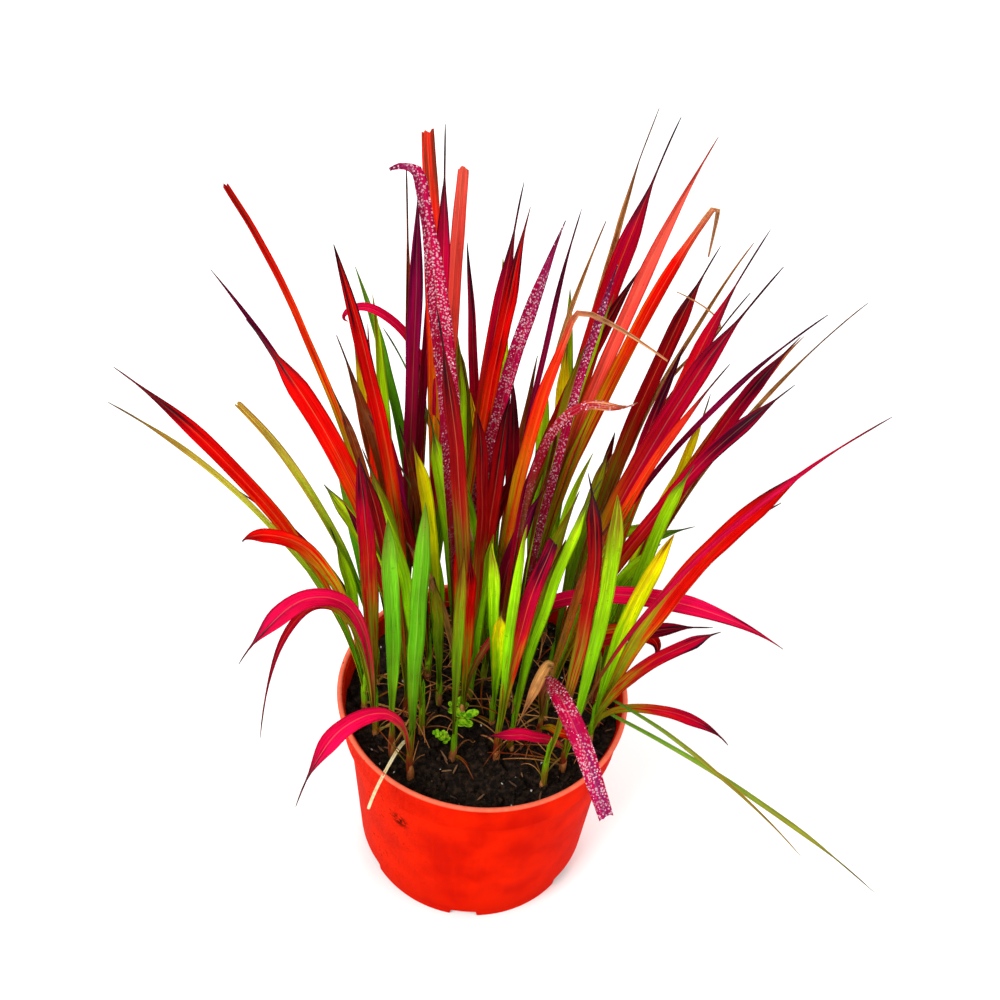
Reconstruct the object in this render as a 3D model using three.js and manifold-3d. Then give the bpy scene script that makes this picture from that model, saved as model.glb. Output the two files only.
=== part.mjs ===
// Japanese blood grass (Imperata) growing in its plastic nursery pot. Millimetres, +Z up.
// The origin is the middle of the pot's flat underside. The front of the plant faces -Y.
//
// The pot is one thin moulding, the soil one crumbly plug that fills it, and each shoot of the
// grass is one solid: a sheath that stands in its own hole in the soil, with the long thin leaf
// blades grown out of it. A dry straw leans out over the rim.

import * as THREE from 'three';
import { mergeVertices } from 'three/addons/utils/BufferGeometryUtils.js';
import Module from 'manifold-3d';

// Pot
const POT_HEIGHT = 138;
const RIM_RADIUS = 85;
const RIM_LIP = 3;
const COLLAR_DEPTH = 27;
const COLLAR_STEP = 2.2;
const FOOT_RADIUS = 68;
const FOOT_HEIGHT = 13;
const FOOT_STEP = 2;
const WALL = 1.6;
const FLOOR = 2;
const POT_SIDES = 40;
const NOTCHES = 6;
const NOTCH_WIDTH = 16;
const NOTCH_HEIGHT = 5;
const NOTCH_DEPTH = 9;

// Soil
const SOIL_LEVEL = 123;
const SOIL_RINGS = 4;
const SOIL_SIDES = POT_SIDES / 2;
const CLEARANCE = 0.3;

// Grass
const HOLE_DEPTH = 28;
const SHEATH_SIDES = 6;
const SHEATH_RADIUS = 2;
const SHEATH_TOP_RADIUS = 1.3;
const LEAF_START = 22;
const LEAF_SEAT = 0.9;
const LEAF_DROOP = 4;
const FULL_AT = 0.42;
const DROOP_FULL_AT = 0.7;
const BLADE_THICKNESS = 0.65;
const STATION_SPACING = 46;
const FEWEST_STEPS = 4;
const LEAVES_EACH = 3;
const FILL_SHOOTS = 13;
const TUFT_RADIUS = 66;
const SHOOT_SPACING = 9;
const FILL_REACH = [-88, 100];
const LEAF_GUARD = 0.4;

// The grown shoots stand in rings that are open to the front, where the soil is bare: the radius,
// the number of shoots, and the angles of the first and the last. None stands quite in line.
const RINGS = [[16, 5, -60, 228], [40, 11, -70, 250], [66, 19, -55, 235]];
const STRAY = 3;

// A leaf leaves its sheath steeply and leans out more and more. These are the shares of its way
// across and up at a third and at two thirds of its length, and, for one that hangs, of its way
// to the crest and then on from the crest to the tip. Its root lies this share of the way out.
const LOW_SHARE = [0.2, 0.4];
const HIGH_SHARE = [0.56, 0.74];
const TO_CREST = [0.5, 0.8];
const FROM_CREST = [0.35, 0.15];
const ROOT_SHARE = [0.42, 0.5];
const DEPTH_SPREAD = 12;

// Leaves turn their faces to the light, which falls in this direction. A leaf that would cross
// another shoot leans along it, or against it, and bows to a side, by these steps.
const LIGHT = new THREE.Vector3(0, 0.72, -0.69);
const LEAN_STEP = 5;
const LEAN_TRIES = 12;
const BOWS = [0, 5, -5, 10, -10];
const BOW_WEIGHT = 2.5;

const COLOURS = {
  pot: '#f5330f', soil: '#17110f', straw: '#e9dcae',
  lime: '#86c814', yellow: '#d8d81c', green: '#4f9a22', red: '#c81212', crimson: '#a3122f',
  dark: '#7a1018', purple: '#5c1030', pink: '#c22a5c', dew: '#96204f', orange: '#d8501a',
  tan: '#cf9f63', brown: '#7a4a22', olive: '#6f7a1c',
};

// How wide a leaf grows: a dried, rolled thread, a slim blade, a common one and a broad one.
const THREAD = 3;
const SLIM = 5;
const BLADE = 8;
const BROAD = 11;

// The grown leaves, by how far back their tips lie, the front ones first, as they take the front
// shoots. A row is where the tip is [x, z], the width and the colour. A leaf that hangs goes over
// a crest [x, z], a folded one has a tail that ends at [x, z], a blunt one is torn or withered at
// the end and stays broad there, and one that doesn't grow from the shoots below its tip has its
// own root [x, y].
const LAYERS = [
  { depth: -100, leaves: [
    [-92, 151, BROAD, 'pink', { over: [-58, 208] }],
    [69, 165, BROAD, 'dew', { over: [34, 218], root: [28, -30], blunt: true }],
    [179, 140, THREAD, 'green', { over: [84, 179], root: [68, -14] }],
    [222, 116, THREAD, 'green', { over: [90, 165], root: [68, -14] }],
  ] },
  { depth: -60, leaves: [
    [-120, 150, SLIM, 'crimson', { over: [-88, 250] }],
    [-125, 215, BROAD, 'pink', { over: [-80, 262] }],
    [20, 180, BLADE, 'tan', { over: [36, 210], root: [30, -20] }],
    [67, 167, SLIM, 'red'],
  ] },
  { depth: -40, leaves: [
    [-177, 365, THREAD, 'tan'],
    [-122, 284, BLADE, 'red', { over: [-105, 291] }],
    [-33, 432, BLADE, 'dark'],
    [-62, 334, BLADE, 'lime'],
    [-2, 298, BLADE, 'lime'],
    [6, 250, BLADE, 'yellow'],
    [-12, 292, BLADE, 'red'],
    [57, 394, SLIM, 'dew', { over: [24, 376], root: [0, -12] }],
    [28, 305, BLADE, 'crimson', { blunt: true }],
    [157, 237, BROAD, 'pink', { over: [62, 255], root: [5, -15] }],
    [119, 248, BLADE, 'crimson'],
    [139, 155, BLADE, 'crimson', { over: [95, 172] }],
    [148, 375, BROAD, 'red'],
    [135, 342, SLIM, 'dark'],
    [168, 398, THREAD, 'pink'],
    [4, 145, BLADE, 'pink', { over: [30, 150], root: [45, -45] }],
  ] },
  { depth: -20, leaves: [
    [-182, 370, BLADE, 'red'],
    [-17, 290, BLADE, 'red', { tail: [-12, 278] }],
    [-46, 273, SLIM, 'tan'],
    [10, 268, SLIM, 'purple'],
  ] },
  { depth: 0, leaves: [
    [-46, 473, BROAD, 'dew', { tail: [-58, 472] }],
    [42, 436, SLIM, 'dew'],
    [-80, 429, BLADE, 'dark'],
    [-124, 389, BROAD, 'red'],
    [-133, 340, SLIM, 'tan', { blunt: true }],
    [-145, 288, SLIM, 'purple'],
    [115, 445, BROAD, 'crimson'],
    [99, 387, SLIM, 'orange'],
    [136, 413, BLADE, 'orange'],
    [158, 432, THREAD, 'tan'],
    [133, 411, BLADE, 'crimson'],
    [134, 381, BLADE, 'crimson'],
    [138, 420, THREAD, 'purple'],
    [43, 423, SLIM, 'lime'],
    [27, 410, BLADE, 'orange', { tail: [70, 385] }],
    [122, 208, BLADE, 'crimson'],
    [94, 180, BLADE, 'red', { over: [84, 192] }],
    [-89, 289, BLADE, 'lime'],
    [-34, 340, BLADE, 'lime'],
    [-52, 333, SLIM, 'brown'],
    [-66, 337, SLIM, 'purple'],
    [-58, 303, SLIM, 'dark'],
    [21, 298, BLADE, 'purple'],
    [84, 268, BLADE, 'lime'],
    [88, 250, BLADE, 'lime'],
    [77, 228, SLIM, 'brown'],
  ] },
  { depth: 50, leaves: [
    [83, 477, BLADE, 'orange'],
    [88, 442, BLADE, 'red', { tail: [88, 412] }],
    [113, 428, BLADE, 'crimson'],
    [108, 422, THREAD, 'tan'],
    [113, 396, SLIM, 'brown'],
    [93, 419, BLADE, 'dark'],
    [103, 374, THREAD, 'tan', { tail: [76, 390] }],
    [60, 409, BLADE, 'dark'],
    [38, 428, THREAD, 'tan'],
    [26, 434, THREAD, 'purple'],
    [19, 426, BLADE, 'dew'],
    [2, 432, BLADE, 'red'],
    [-2, 446, BLADE, 'crimson'],
    [-9, 402, BLADE, 'lime'],
    [26, 369, BLADE, 'yellow'],
    [-31, 453, BLADE, 'orange', { blunt: true }],
    [-47, 465, BLADE, 'orange', { blunt: true }],
    [-39, 467, BLADE, 'pink'],
    [-40, 442, SLIM, 'purple'],
    [-50, 436, BLADE, 'purple'],
    [-56, 445, THREAD, 'brown'],
    [-142, 431, SLIM, 'orange', { blunt: true }],
    [-84, 357, BLADE, 'yellow'],
    [-154, 382, SLIM, 'purple'],
    [-74, 355, SLIM, 'red'],
    [-83, 354, SLIM, 'pink', { over: [-72, 365] }],
    [-66, 353, THREAD, 'green'],
    [109, 235, SLIM, 'green'],
    [98, 240, BLADE, 'lime'],
  ] },
  { depth: 80, leaves: [
    [57, 470, SLIM, 'tan'],
    [67, 464, BROAD, 'crimson'],
  ] },
];

// Seeded draws, so that every build grows the same plant.
let seed = 20817;
function draw(low, high) {
  seed = (seed * 1664525 + 1013904223) % 4294967296;
  return low + (high - low) * seed / 4294967296;
}

// Solids: a closed three.js geometry becomes a manifold solid, and the other way round.

const wasm = await Module();
wasm.setup();

function solidOf(geometry) {
  geometry.deleteAttribute('normal');
  geometry.deleteAttribute('uv');
  const merged = mergeVertices(geometry, 1e-4);
  const corners = merged.index.array;
  const kept = [];
  for (let i = 0; i < corners.length; i += 3) {
    const [a, b, c] = corners.slice(i, i + 3);
    if (a !== b && b !== c && c !== a) kept.push(a, b, c);
  }
  return new wasm.Manifold(new wasm.Mesh({
    numProp: 3,
    vertProperties: Float32Array.from(merged.attributes.position.array),
    triVerts: Uint32Array.from(kept),
  }));
}

function meshOf(solid, name, colour, roughness) {
  const body = solid.getMesh();
  const geometry = new THREE.BufferGeometry();
  geometry.setAttribute('position', new THREE.BufferAttribute(body.vertProperties, 3));
  geometry.setIndex(new THREE.BufferAttribute(body.triVerts, 1));
  geometry.computeVertexNormals();
  const material = new THREE.MeshStandardMaterial({ color: colour, roughness, metalness: 0 });
  const mesh = new THREE.Mesh(geometry, material);
  mesh.name = name;
  return mesh;
}

// A body of revolution about Z, from profile points [radius, height] that start and end on it.
function turned(profile, sides) {
  const points = profile.map(([radius, height]) => new THREE.Vector2(radius, height));
  return new THREE.LatheGeometry(points, sides).rotateX(Math.PI / 2);
}

// Pot: a tapered thin wall with a rolled lip, an upright collar, a small foot band and drain
// notches where the wall meets the floor.

const COLLAR_FOOT = POT_HEIGHT - COLLAR_DEPTH;
const COLLAR_RADIUS = RIM_RADIUS - RIM_LIP + 0.6;
const BODY_TOP_RADIUS = COLLAR_RADIUS - 2 * COLLAR_STEP;
const FOOT_TOP_RADIUS = FOOT_RADIUS + 1;

// Radius of the pot's outer wall at a height, between the foot band and the collar.
function bodyRadius(height) {
  const share = (height - FOOT_HEIGHT) / (COLLAR_FOOT - FOOT_HEIGHT);
  return FOOT_TOP_RADIUS + FOOT_STEP + share * (BODY_TOP_RADIUS - FOOT_TOP_RADIUS - FOOT_STEP);
}

function potOutside() {
  return [
    [0, 0],
    [FOOT_RADIUS, 0],
    [FOOT_TOP_RADIUS, FOOT_HEIGHT - FOOT_STEP],
    [bodyRadius(FOOT_HEIGHT), FOOT_HEIGHT],
    [BODY_TOP_RADIUS, COLLAR_FOOT],
    [COLLAR_RADIUS - 0.8, COLLAR_FOOT + COLLAR_STEP],
    [COLLAR_RADIUS, POT_HEIGHT - RIM_LIP],
    [RIM_RADIUS - 0.5, POT_HEIGHT - RIM_LIP + 0.4],
    [RIM_RADIUS, POT_HEIGHT - RIM_LIP / 2],
    [RIM_RADIUS - 0.7, POT_HEIGHT - 0.4],
    [RIM_RADIUS - RIM_LIP / 2, POT_HEIGHT],
  ];
}

function potInside() {
  return [
    [COLLAR_RADIUS - WALL, POT_HEIGHT - 0.5],
    [COLLAR_RADIUS - 0.8 - WALL, COLLAR_FOOT + COLLAR_STEP + 0.6],
    [BODY_TOP_RADIUS - WALL, COLLAR_FOOT - 0.6],
    [bodyRadius(FOOT_HEIGHT) - WALL, FOOT_HEIGHT + 0.6],
    [FOOT_TOP_RADIUS - WALL, FOOT_HEIGHT - FOOT_STEP + 0.6],
    [FOOT_RADIUS - WALL, FLOOR],
    [0, FLOOR],
  ];
}

function makePot() {
  let pot = solidOf(turned([...potOutside(), ...potInside()], POT_SIDES));
  for (let i = 0; i < NOTCHES; i += 1) {
    const notch = new THREE.BoxGeometry(NOTCH_DEPTH, NOTCH_WIDTH, 2 * NOTCH_HEIGHT);
    notch.translate(FOOT_RADIUS, 0, 0).rotateZ(2 * Math.PI * i / NOTCHES - Math.PI / 2);
    pot = pot.subtract(solidOf(notch));
  }
  return pot;
}

// Soil: a plug that fits the pot with a rough top, and a plain hole for each shoot.

function soilHeight(x, y) {
  const lumps = Math.sin(x * 0.21 + 1.3) * Math.cos(y * 0.17) + 0.6 * Math.sin((x - y) * 0.43);
  const settled = -3 * (x * x + y * y) / (RIM_RADIUS * RIM_RADIUS);
  return SOIL_LEVEL + 1.1 * lumps + settled;
}

function makeSoil(shoots) {
  const inside = potInside().slice(1, -1).reverse();
  const sides = inside.map(([radius, height]) => [radius - 1.5 * CLEARANCE, height]);
  sides[0][1] = FLOOR + CLEARANCE;
  const edge = COLLAR_RADIUS - WALL - 2 * CLEARANCE;
  const top = [];
  for (let ring = SOIL_RINGS; ring >= 0; ring -= 1) {
    top.push([edge * ring / SOIL_RINGS, SOIL_LEVEL]);
  }
  const plug = turned([[0, FLOOR + CLEARANCE], ...sides, ...top], SOIL_SIDES);
  const places = plug.attributes.position;
  for (let i = 0; i < places.count; i += 1) {
    if (places.getZ(i) < SOIL_LEVEL - 0.01) continue;
    places.setZ(i, soilHeight(places.getX(i), places.getY(i)));
  }
  let soil = solidOf(plug);
  for (const shoot of shoots) {
    const radius = SHEATH_RADIUS + CLEARANCE / Math.cos(Math.PI / SHEATH_SIDES);
    const hole = turned([
      [0, SOIL_LEVEL - HOLE_DEPTH - CLEARANCE], [radius, SOIL_LEVEL - HOLE_DEPTH - CLEARANCE],
      [radius, SOIL_LEVEL + 10], [0, SOIL_LEVEL + 10]], SHEATH_SIDES);
    soil = soil.subtract(solidOf(hole.translate(...shoot.at, 0)));
  }
  return soil;
}

// Grass: sheaths and leaf blades.

function makeSheath(shoot) {
  return solidOf(turned([
    [0, SOIL_LEVEL - HOLE_DEPTH],
    [SHEATH_RADIUS, SOIL_LEVEL - HOLE_DEPTH],
    [SHEATH_RADIUS, SOIL_LEVEL + 6],
    [SHEATH_TOP_RADIUS, SOIL_LEVEL + shoot.sheath],
    [0, SOIL_LEVEL + shoot.sheath + 3],
  ], SHEATH_SIDES).translate(...shoot.at, 0));
}

// The middle line of a leaf: a cubic through its foot, its two points and its tip. Its depth
// runs from the sheath to the tip, slowly at first. Lean and bow carry it clear of others.
function middle(leaf, t, { lean, bow }) {
  const [x0, y0, z0] = leaf.foot;
  const [x3, y3, z3] = leaf.tip;
  const weights = [
    -4.5 * (t - 1 / 3) * (t - 2 / 3) * (t - 1), 13.5 * t * (t - 2 / 3) * (t - 1),
    -13.5 * t * (t - 1 / 3) * (t - 1), 4.5 * t * (t - 1 / 3) * (t - 2 / 3)];
  const mix = (a, b, c, d) => weights[0] * a + weights[1] * b + weights[2] * c + weights[3] * d;
  const point = new THREE.Vector3(
    mix(x0, leaf.low[0], leaf.high[0], x3) + 4 * bow * t * (1 - t),
    y0 + (y3 - y0) * t ** 1.2,
    mix(z0, leaf.low[1], leaf.high[1], z3));
  return point.addScaledVector(LIGHT, lean * (2 * t - t * t));
}

// Share of the full width along a leaf: narrow in the sheath, then full, then drawn to a point.
function widthShare(leaf, t) {
  const rise = 0.3 + 0.7 * Math.min(1, t / leaf.full);
  const fall = Math.max(0, (t - leaf.widest) / (1 - leaf.widest)) ** 1.6;
  return rise * (1 - (1 - leaf.end) * fall);
}

// Middle points of a leaf and of its folded tail, with the share of the width at each.
function stations(leaf, sway) {
  const count = leaf.steps;
  const line = [];
  for (let i = 0; i <= count; i += 1) {
    const t = i / count;
    line.push({ point: middle(leaf, t, sway), share: widthShare(leaf, t), t });
  }
  if (leaf.tail) {
    const fold = line[count];
    fold.share = Math.max(fold.share, 0.55);
    const tail = new THREE.Vector3(...leaf.tail).addScaledVector(LIGHT, sway.lean);
    const sag = fold.point.clone().lerp(tail, 0.5).add(new THREE.Vector3(0, 0, 1.5));
    line.push({ point: sag, share: 0.34, t: 1.1 }, { point: tail, share: 0.15, t: 1.2 });
  }
  return line;
}

// A blade is a strip of even thickness: four corners at each station, closed at both ends.
function bladeSolid(leaf, sway, extra = 0) {
  const line = stations(leaf, sway);
  const places = [];
  line.forEach(({ point, share, t }, i) => {
    const before = line[Math.max(0, i - 1)].point;
    const after = line[Math.min(line.length - 1, i + 1)].point;
    const along = after.clone().sub(before).normalize();
    const across = new THREE.Vector3().crossVectors(LIGHT, along).normalize();
    across.applyAxisAngle(along, leaf.turn + leaf.twist * t);
    const face = new THREE.Vector3().crossVectors(along, across);
    const half = Math.max(leaf.width * share, 0.8) / 2 + extra;
    const thick = BLADE_THICKNESS / 2 + extra;
    for (const [side, front] of [[1, 1], [-1, 1], [-1, -1], [1, -1]]) {
      const corner = point.clone().addScaledVector(across, side * half);
      corner.addScaledVector(face, front * thick);
      places.push(corner.x, corner.y, corner.z);
    }
  });
  const faces = [0, 2, 1, 0, 3, 2];
  const last = 4 * (line.length - 1);
  faces.push(last, last + 1, last + 2, last, last + 2, last + 3);
  for (let i = 0; i < last; i += 4) {
    for (const [a, b] of [[0, 1], [1, 2], [2, 3], [3, 0]]) {
      if (a === 2) faces.push(i + a, i + b, i + 4 + a, i + b, i + 4 + b, i + 4 + a);
      else faces.push(i + a, i + b, i + 4 + b, i + a, i + 4 + b, i + 4 + a);
    }
  }
  const geometry = new THREE.BufferGeometry();
  geometry.setAttribute('position', new THREE.Float32BufferAttribute(places, 3));
  geometry.setIndex(faces);
  return solidOf(geometry);
}

function between(from, to, share) {
  return from + (to - from) * share;
}

// The guide points [x, z] of a leaf, at a third and at two thirds of its length.
function guides([x, , z], tip, over) {
  if (!over) {
    return [LOW_SHARE, HIGH_SHARE].map(
      ([across, up]) => [between(x, tip[0], across), between(z, tip[2], up)]);
  }
  return [
    [between(x, over[0], TO_CREST[0]), between(z, over[1], TO_CREST[1])],
    [between(over[0], tip[0], FROM_CREST[0]), between(over[1], tip[2], FROM_CREST[1])],
  ];
}

// Fills in what a leaf leaves open: where it starts in the sheath, its course, how it faces.
function growLeaf(shoot, number, { tip, width, tone, over, tail, blunt }) {
  const outward = Math.atan2(tip[1] - shoot.at[1], tip[0] - shoot.at[0]);
  const foot = [
    shoot.at[0] + LEAF_SEAT * Math.cos(outward),
    shoot.at[1] + LEAF_SEAT * Math.sin(outward),
    SOIL_LEVEL + LEAF_START - 5 * (number % 3),
  ];
  const [low, high] = guides(foot, tip, over);
  const length = Math.hypot(low[0] - foot[0], low[1] - foot[2])
    + Math.hypot(high[0] - low[0], high[1] - low[1])
    + Math.hypot(tip[0] - high[0], tip[2] - high[1]);
  return {
    foot, low, high, tip, width, tone, tail,
    widest: draw(0.6, 0.8),
    full: tip[2] < Math.max(low[1], high[1]) - LEAF_DROOP ? DROOP_FULL_AT : FULL_AT,
    end: blunt ? 0.75 : 0.1,
    turn: draw(-0.5, 0.5),
    twist: draw(-0.5, 0.5),
    steps: Math.max(FEWEST_STEPS, Math.round(length / STATION_SPACING)),
  };
}

// The grown leaves of all layers. Their tips lie a little before or behind their layer.
function layeredLeaves() {
  return LAYERS.flatMap(({ depth, leaves }) => leaves.map(([x, z, width, tone, form = {}]) => {
    const back = draw(-DEPTH_SPREAD, DEPTH_SPREAD);
    const tip = [x, depth + back * LIGHT.y, z + back * LIGHT.z];
    const tail = form.tail && [form.tail[0], tip[1], form.tail[1] + back * LIGHT.z];
    const root = form.root ?? [x * ROOT_SHARE[0], depth * ROOT_SHARE[1]];
    return { tip, width, tone, over: form.over, tail, blunt: form.blunt, root };
  }));
}

// The shoots of the rings, with the grown leaves shared out: each grows from the shoot nearest
// to its root that isn't full yet.
function ringShoots() {
  const plans = RINGS.flatMap(([radius, count, first, last]) => (
    Array.from({ length: count }, (_, i) => {
      const angle = between(first, last, i / (count - 1)) * Math.PI / 180;
      const at = [radius * Math.cos(angle), radius * Math.sin(angle)];
      return { at: at.map((place) => place + draw(-STRAY, STRAY)), leaves: [] };
    })));
  for (const leaf of layeredLeaves()) {
    const away = ({ at }) => Math.hypot(at[0] - leaf.root[0], at[1] - leaf.root[1]);
    const open = plans.filter(({ leaves }) => leaves.length < LEAVES_EACH);
    open.reduce((best, plan) => (away(plan) < away(best) ? plan : best)).leaves.push(leaf);
  }
  return plans;
}

// A leaf of the thick middle of the tuft: it fans out gently from where its shoot stands.
function fillLeaf(at) {
  const reach = draw(130, 250);
  const spread = draw(0.2, 0.75);
  const wander = draw(-22, 22);
  const depth = at[1] > 0 ? 1 + 1.8 * spread : 1 + 0.6 * spread;
  const aside = Math.min(Math.max(at[0] * (1 + spread) + wander, FILL_REACH[0]), FILL_REACH[1]);
  const tip = [aside, at[1] * depth + draw(-22, 26), SOIL_LEVEL + reach];
  const tones = ['lime', 'brown', 'olive', 'crimson', 'dark', 'green', 'yellow', 'olive', 'lime'];
  const tone = tones[Math.floor(draw(0, tones.length))];
  return { tip, width: draw(4.5, 8.5), tone };
}

// Further shoots stand where there is room between those of the rings, mostly to the back.
function scatterShoots() {
  const rings = ringShoots();
  const plans = rings.map(({ at, leaves }) => ({ at, leaves, fill: [fillLeaf(at)] }));
  while (plans.length < rings.length + FILL_SHOOTS) {
    const angle = draw(0, 2 * Math.PI);
    const radius = TUFT_RADIUS * Math.sqrt(draw(0, 1));
    const at = [radius * Math.cos(angle), radius * Math.sin(angle)];
    const gaps = plans.map((other) => Math.hypot(at[0] - other.at[0], at[1] - other.at[1]));
    if (Math.min(...gaps) < SHOOT_SPACING || at[1] < -30) continue;
    plans.push({ at, leaves: [], fill: [fillLeaf(at), fillLeaf(at), fillLeaf(at)] });
  }
  return plans;
}

function growShoots() {
  return scatterShoots().map(({ at, leaves, fill }, index) => {
    const shoot = { at, sheath: draw(34, 48), name: `shoot_${String(index + 1).padStart(2, '0')}` };
    shoot.leaves = [...leaves, ...fill].map((leaf, number) => growLeaf(shoot, number, leaf));
    shoot.grown = leaves.length;
    return shoot;
  });
}

function boxesMeet(a, b) {
  for (let i = 0; i < 3; i += 1) if (a.min[i] > b.max[i] || b.min[i] > a.max[i]) return false;
  return true;
}

// Every way a leaf may sway, the smallest first. A bow shows more than a lean.
function sways() {
  const list = [];
  for (let step = -LEAN_TRIES; step <= LEAN_TRIES; step += 1) {
    for (const bow of BOWS) list.push({ lean: step * LEAN_STEP, bow });
  }
  const size = ({ lean, bow }) => Math.abs(lean) + BOW_WEIGHT * Math.abs(bow);
  return list.sort((a, b) => size(a) - size(b));
}

// Places a leaf where it misses everything but its own shoot, or leaves it out.
function placeLeaf(shoot, leaf, obstacles) {
  for (const sway of sways()) {
    const guard = bladeSolid(leaf, sway, LEAF_GUARD);
    const box = guard.boundingBox();
    const hit = obstacles.some((other) => other.shoot !== shoot && boxesMeet(box, other.box)
      && guard.intersect(other.solid).volume() > 1e-6);
    if (hit) continue;
    const blade = bladeSolid(leaf, sway);
    obstacles.push({ shoot, solid: blade, box: blade.boundingBox() });
    return blade;
  }
  return null;
}

// The largest piece of a solid: loose scraps go, and what fusing sealed is filled.
function soundBody(solid) {
  return solid.decompose().reduce((best, piece) => (piece.volume() > best.volume() ? piece : best));
}

// Straw: a dry stalk that lies from the soil over the front left of the rim.
const STRAW = {
  foot: [-42, -32, SOIL_LEVEL - 0.7], low: [-46, 132.5], high: [-51, 140.5],
  tip: [-55, -92, 149], width: 2.2, full: FULL_AT, widest: 0.9, end: 0.5, turn: 0.3, twist: 0,
  steps: 4,
};

// The plant is put together: pot, soil and straw first, then the sheaths, then the leaves one
// by one, the grown ones before those that fill the tuft.
const shoots = growShoots();
const pot = makePot();
const soil = makeSoil(shoots);
const straw = bladeSolid(STRAW, { lean: 0, bow: 0 });
const obstacles = [pot, soil, straw].map((solid) => ({ solid, box: solid.boundingBox() }));
for (const shoot of shoots) {
  shoot.solid = makeSheath(shoot);
  obstacles.push({ shoot, solid: shoot.solid, box: shoot.solid.boundingBox() });
}
for (const grown of [true, false]) {
  for (const shoot of shoots) {
    const leaves = grown ? shoot.leaves.slice(0, shoot.grown) : shoot.leaves.slice(shoot.grown);
    for (const leaf of leaves) {
      const blade = placeLeaf(shoot, leaf, obstacles);
      if (blade) shoot.solid = shoot.solid.add(blade);
    }
  }
}

const plant = new THREE.Group();
plant.add(meshOf(pot, 'pot', COLOURS.pot, 0.42));
plant.add(meshOf(soil, 'soil', COLOURS.soil, 0.95));
plant.add(meshOf(straw, 'straw', COLOURS.straw, 0.7));
for (const shoot of shoots) {
  plant.add(meshOf(soundBody(shoot.solid), shoot.name, COLOURS[shoot.leaves[0].tone], 0.5));
}

export default plant;
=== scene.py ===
# Japanese blood grass in its plastic nursery pot. Metres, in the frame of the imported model: the
# origin is the middle of the pot's underside, +Z is up and the front of the plant faces -Y.
import math
import random

import bpy
from mathutils import Matrix, Quaternion, Vector, kdtree, noise


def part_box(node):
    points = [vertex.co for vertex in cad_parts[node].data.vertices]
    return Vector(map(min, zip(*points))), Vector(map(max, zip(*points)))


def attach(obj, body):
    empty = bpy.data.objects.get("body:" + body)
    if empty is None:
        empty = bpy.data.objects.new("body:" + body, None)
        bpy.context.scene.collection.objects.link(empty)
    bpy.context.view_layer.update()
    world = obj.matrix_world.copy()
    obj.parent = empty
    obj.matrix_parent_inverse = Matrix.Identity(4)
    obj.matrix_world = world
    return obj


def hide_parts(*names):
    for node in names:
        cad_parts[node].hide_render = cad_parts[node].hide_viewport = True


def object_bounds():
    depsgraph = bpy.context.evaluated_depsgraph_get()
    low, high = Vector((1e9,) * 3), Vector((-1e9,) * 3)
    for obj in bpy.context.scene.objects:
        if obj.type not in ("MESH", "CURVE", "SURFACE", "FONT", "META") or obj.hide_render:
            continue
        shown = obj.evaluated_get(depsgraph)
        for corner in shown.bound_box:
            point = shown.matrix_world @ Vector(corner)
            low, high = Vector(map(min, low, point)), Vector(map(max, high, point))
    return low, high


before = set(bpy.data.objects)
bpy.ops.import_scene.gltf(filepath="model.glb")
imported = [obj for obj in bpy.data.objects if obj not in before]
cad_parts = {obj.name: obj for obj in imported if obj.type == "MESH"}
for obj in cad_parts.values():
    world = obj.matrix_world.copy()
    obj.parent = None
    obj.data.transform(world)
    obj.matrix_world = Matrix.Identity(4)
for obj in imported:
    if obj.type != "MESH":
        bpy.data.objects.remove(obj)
cad_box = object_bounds()
bpy.ops.object.select_all(action="DESELECT")


# ---- Camera and light -------------------------------------------------------------------------
# The camera looks down on the plant from in front and is rolled a little. The plant stands on a
# plain pale floor, in the light of three soft boxes and a white room.

EYE = Vector((0, -0.5189, 0.7796))
TILT = math.radians(46.62)
ROLL = math.radians(5.115)
LENS = 50.4

bpy.ops.object.camera_add()
camera = bpy.context.object
camera.data.lens = LENS
camera.data.sensor_width = 36
turned = Matrix.Rotation(TILT, 4, "X") @ Matrix.Rotation(ROLL, 4, "Z")
camera.matrix_world = Matrix.Translation(EYE) @ turned
bpy.context.scene.camera = camera
bpy.context.scene.view_settings.view_transform = "Standard"


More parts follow.
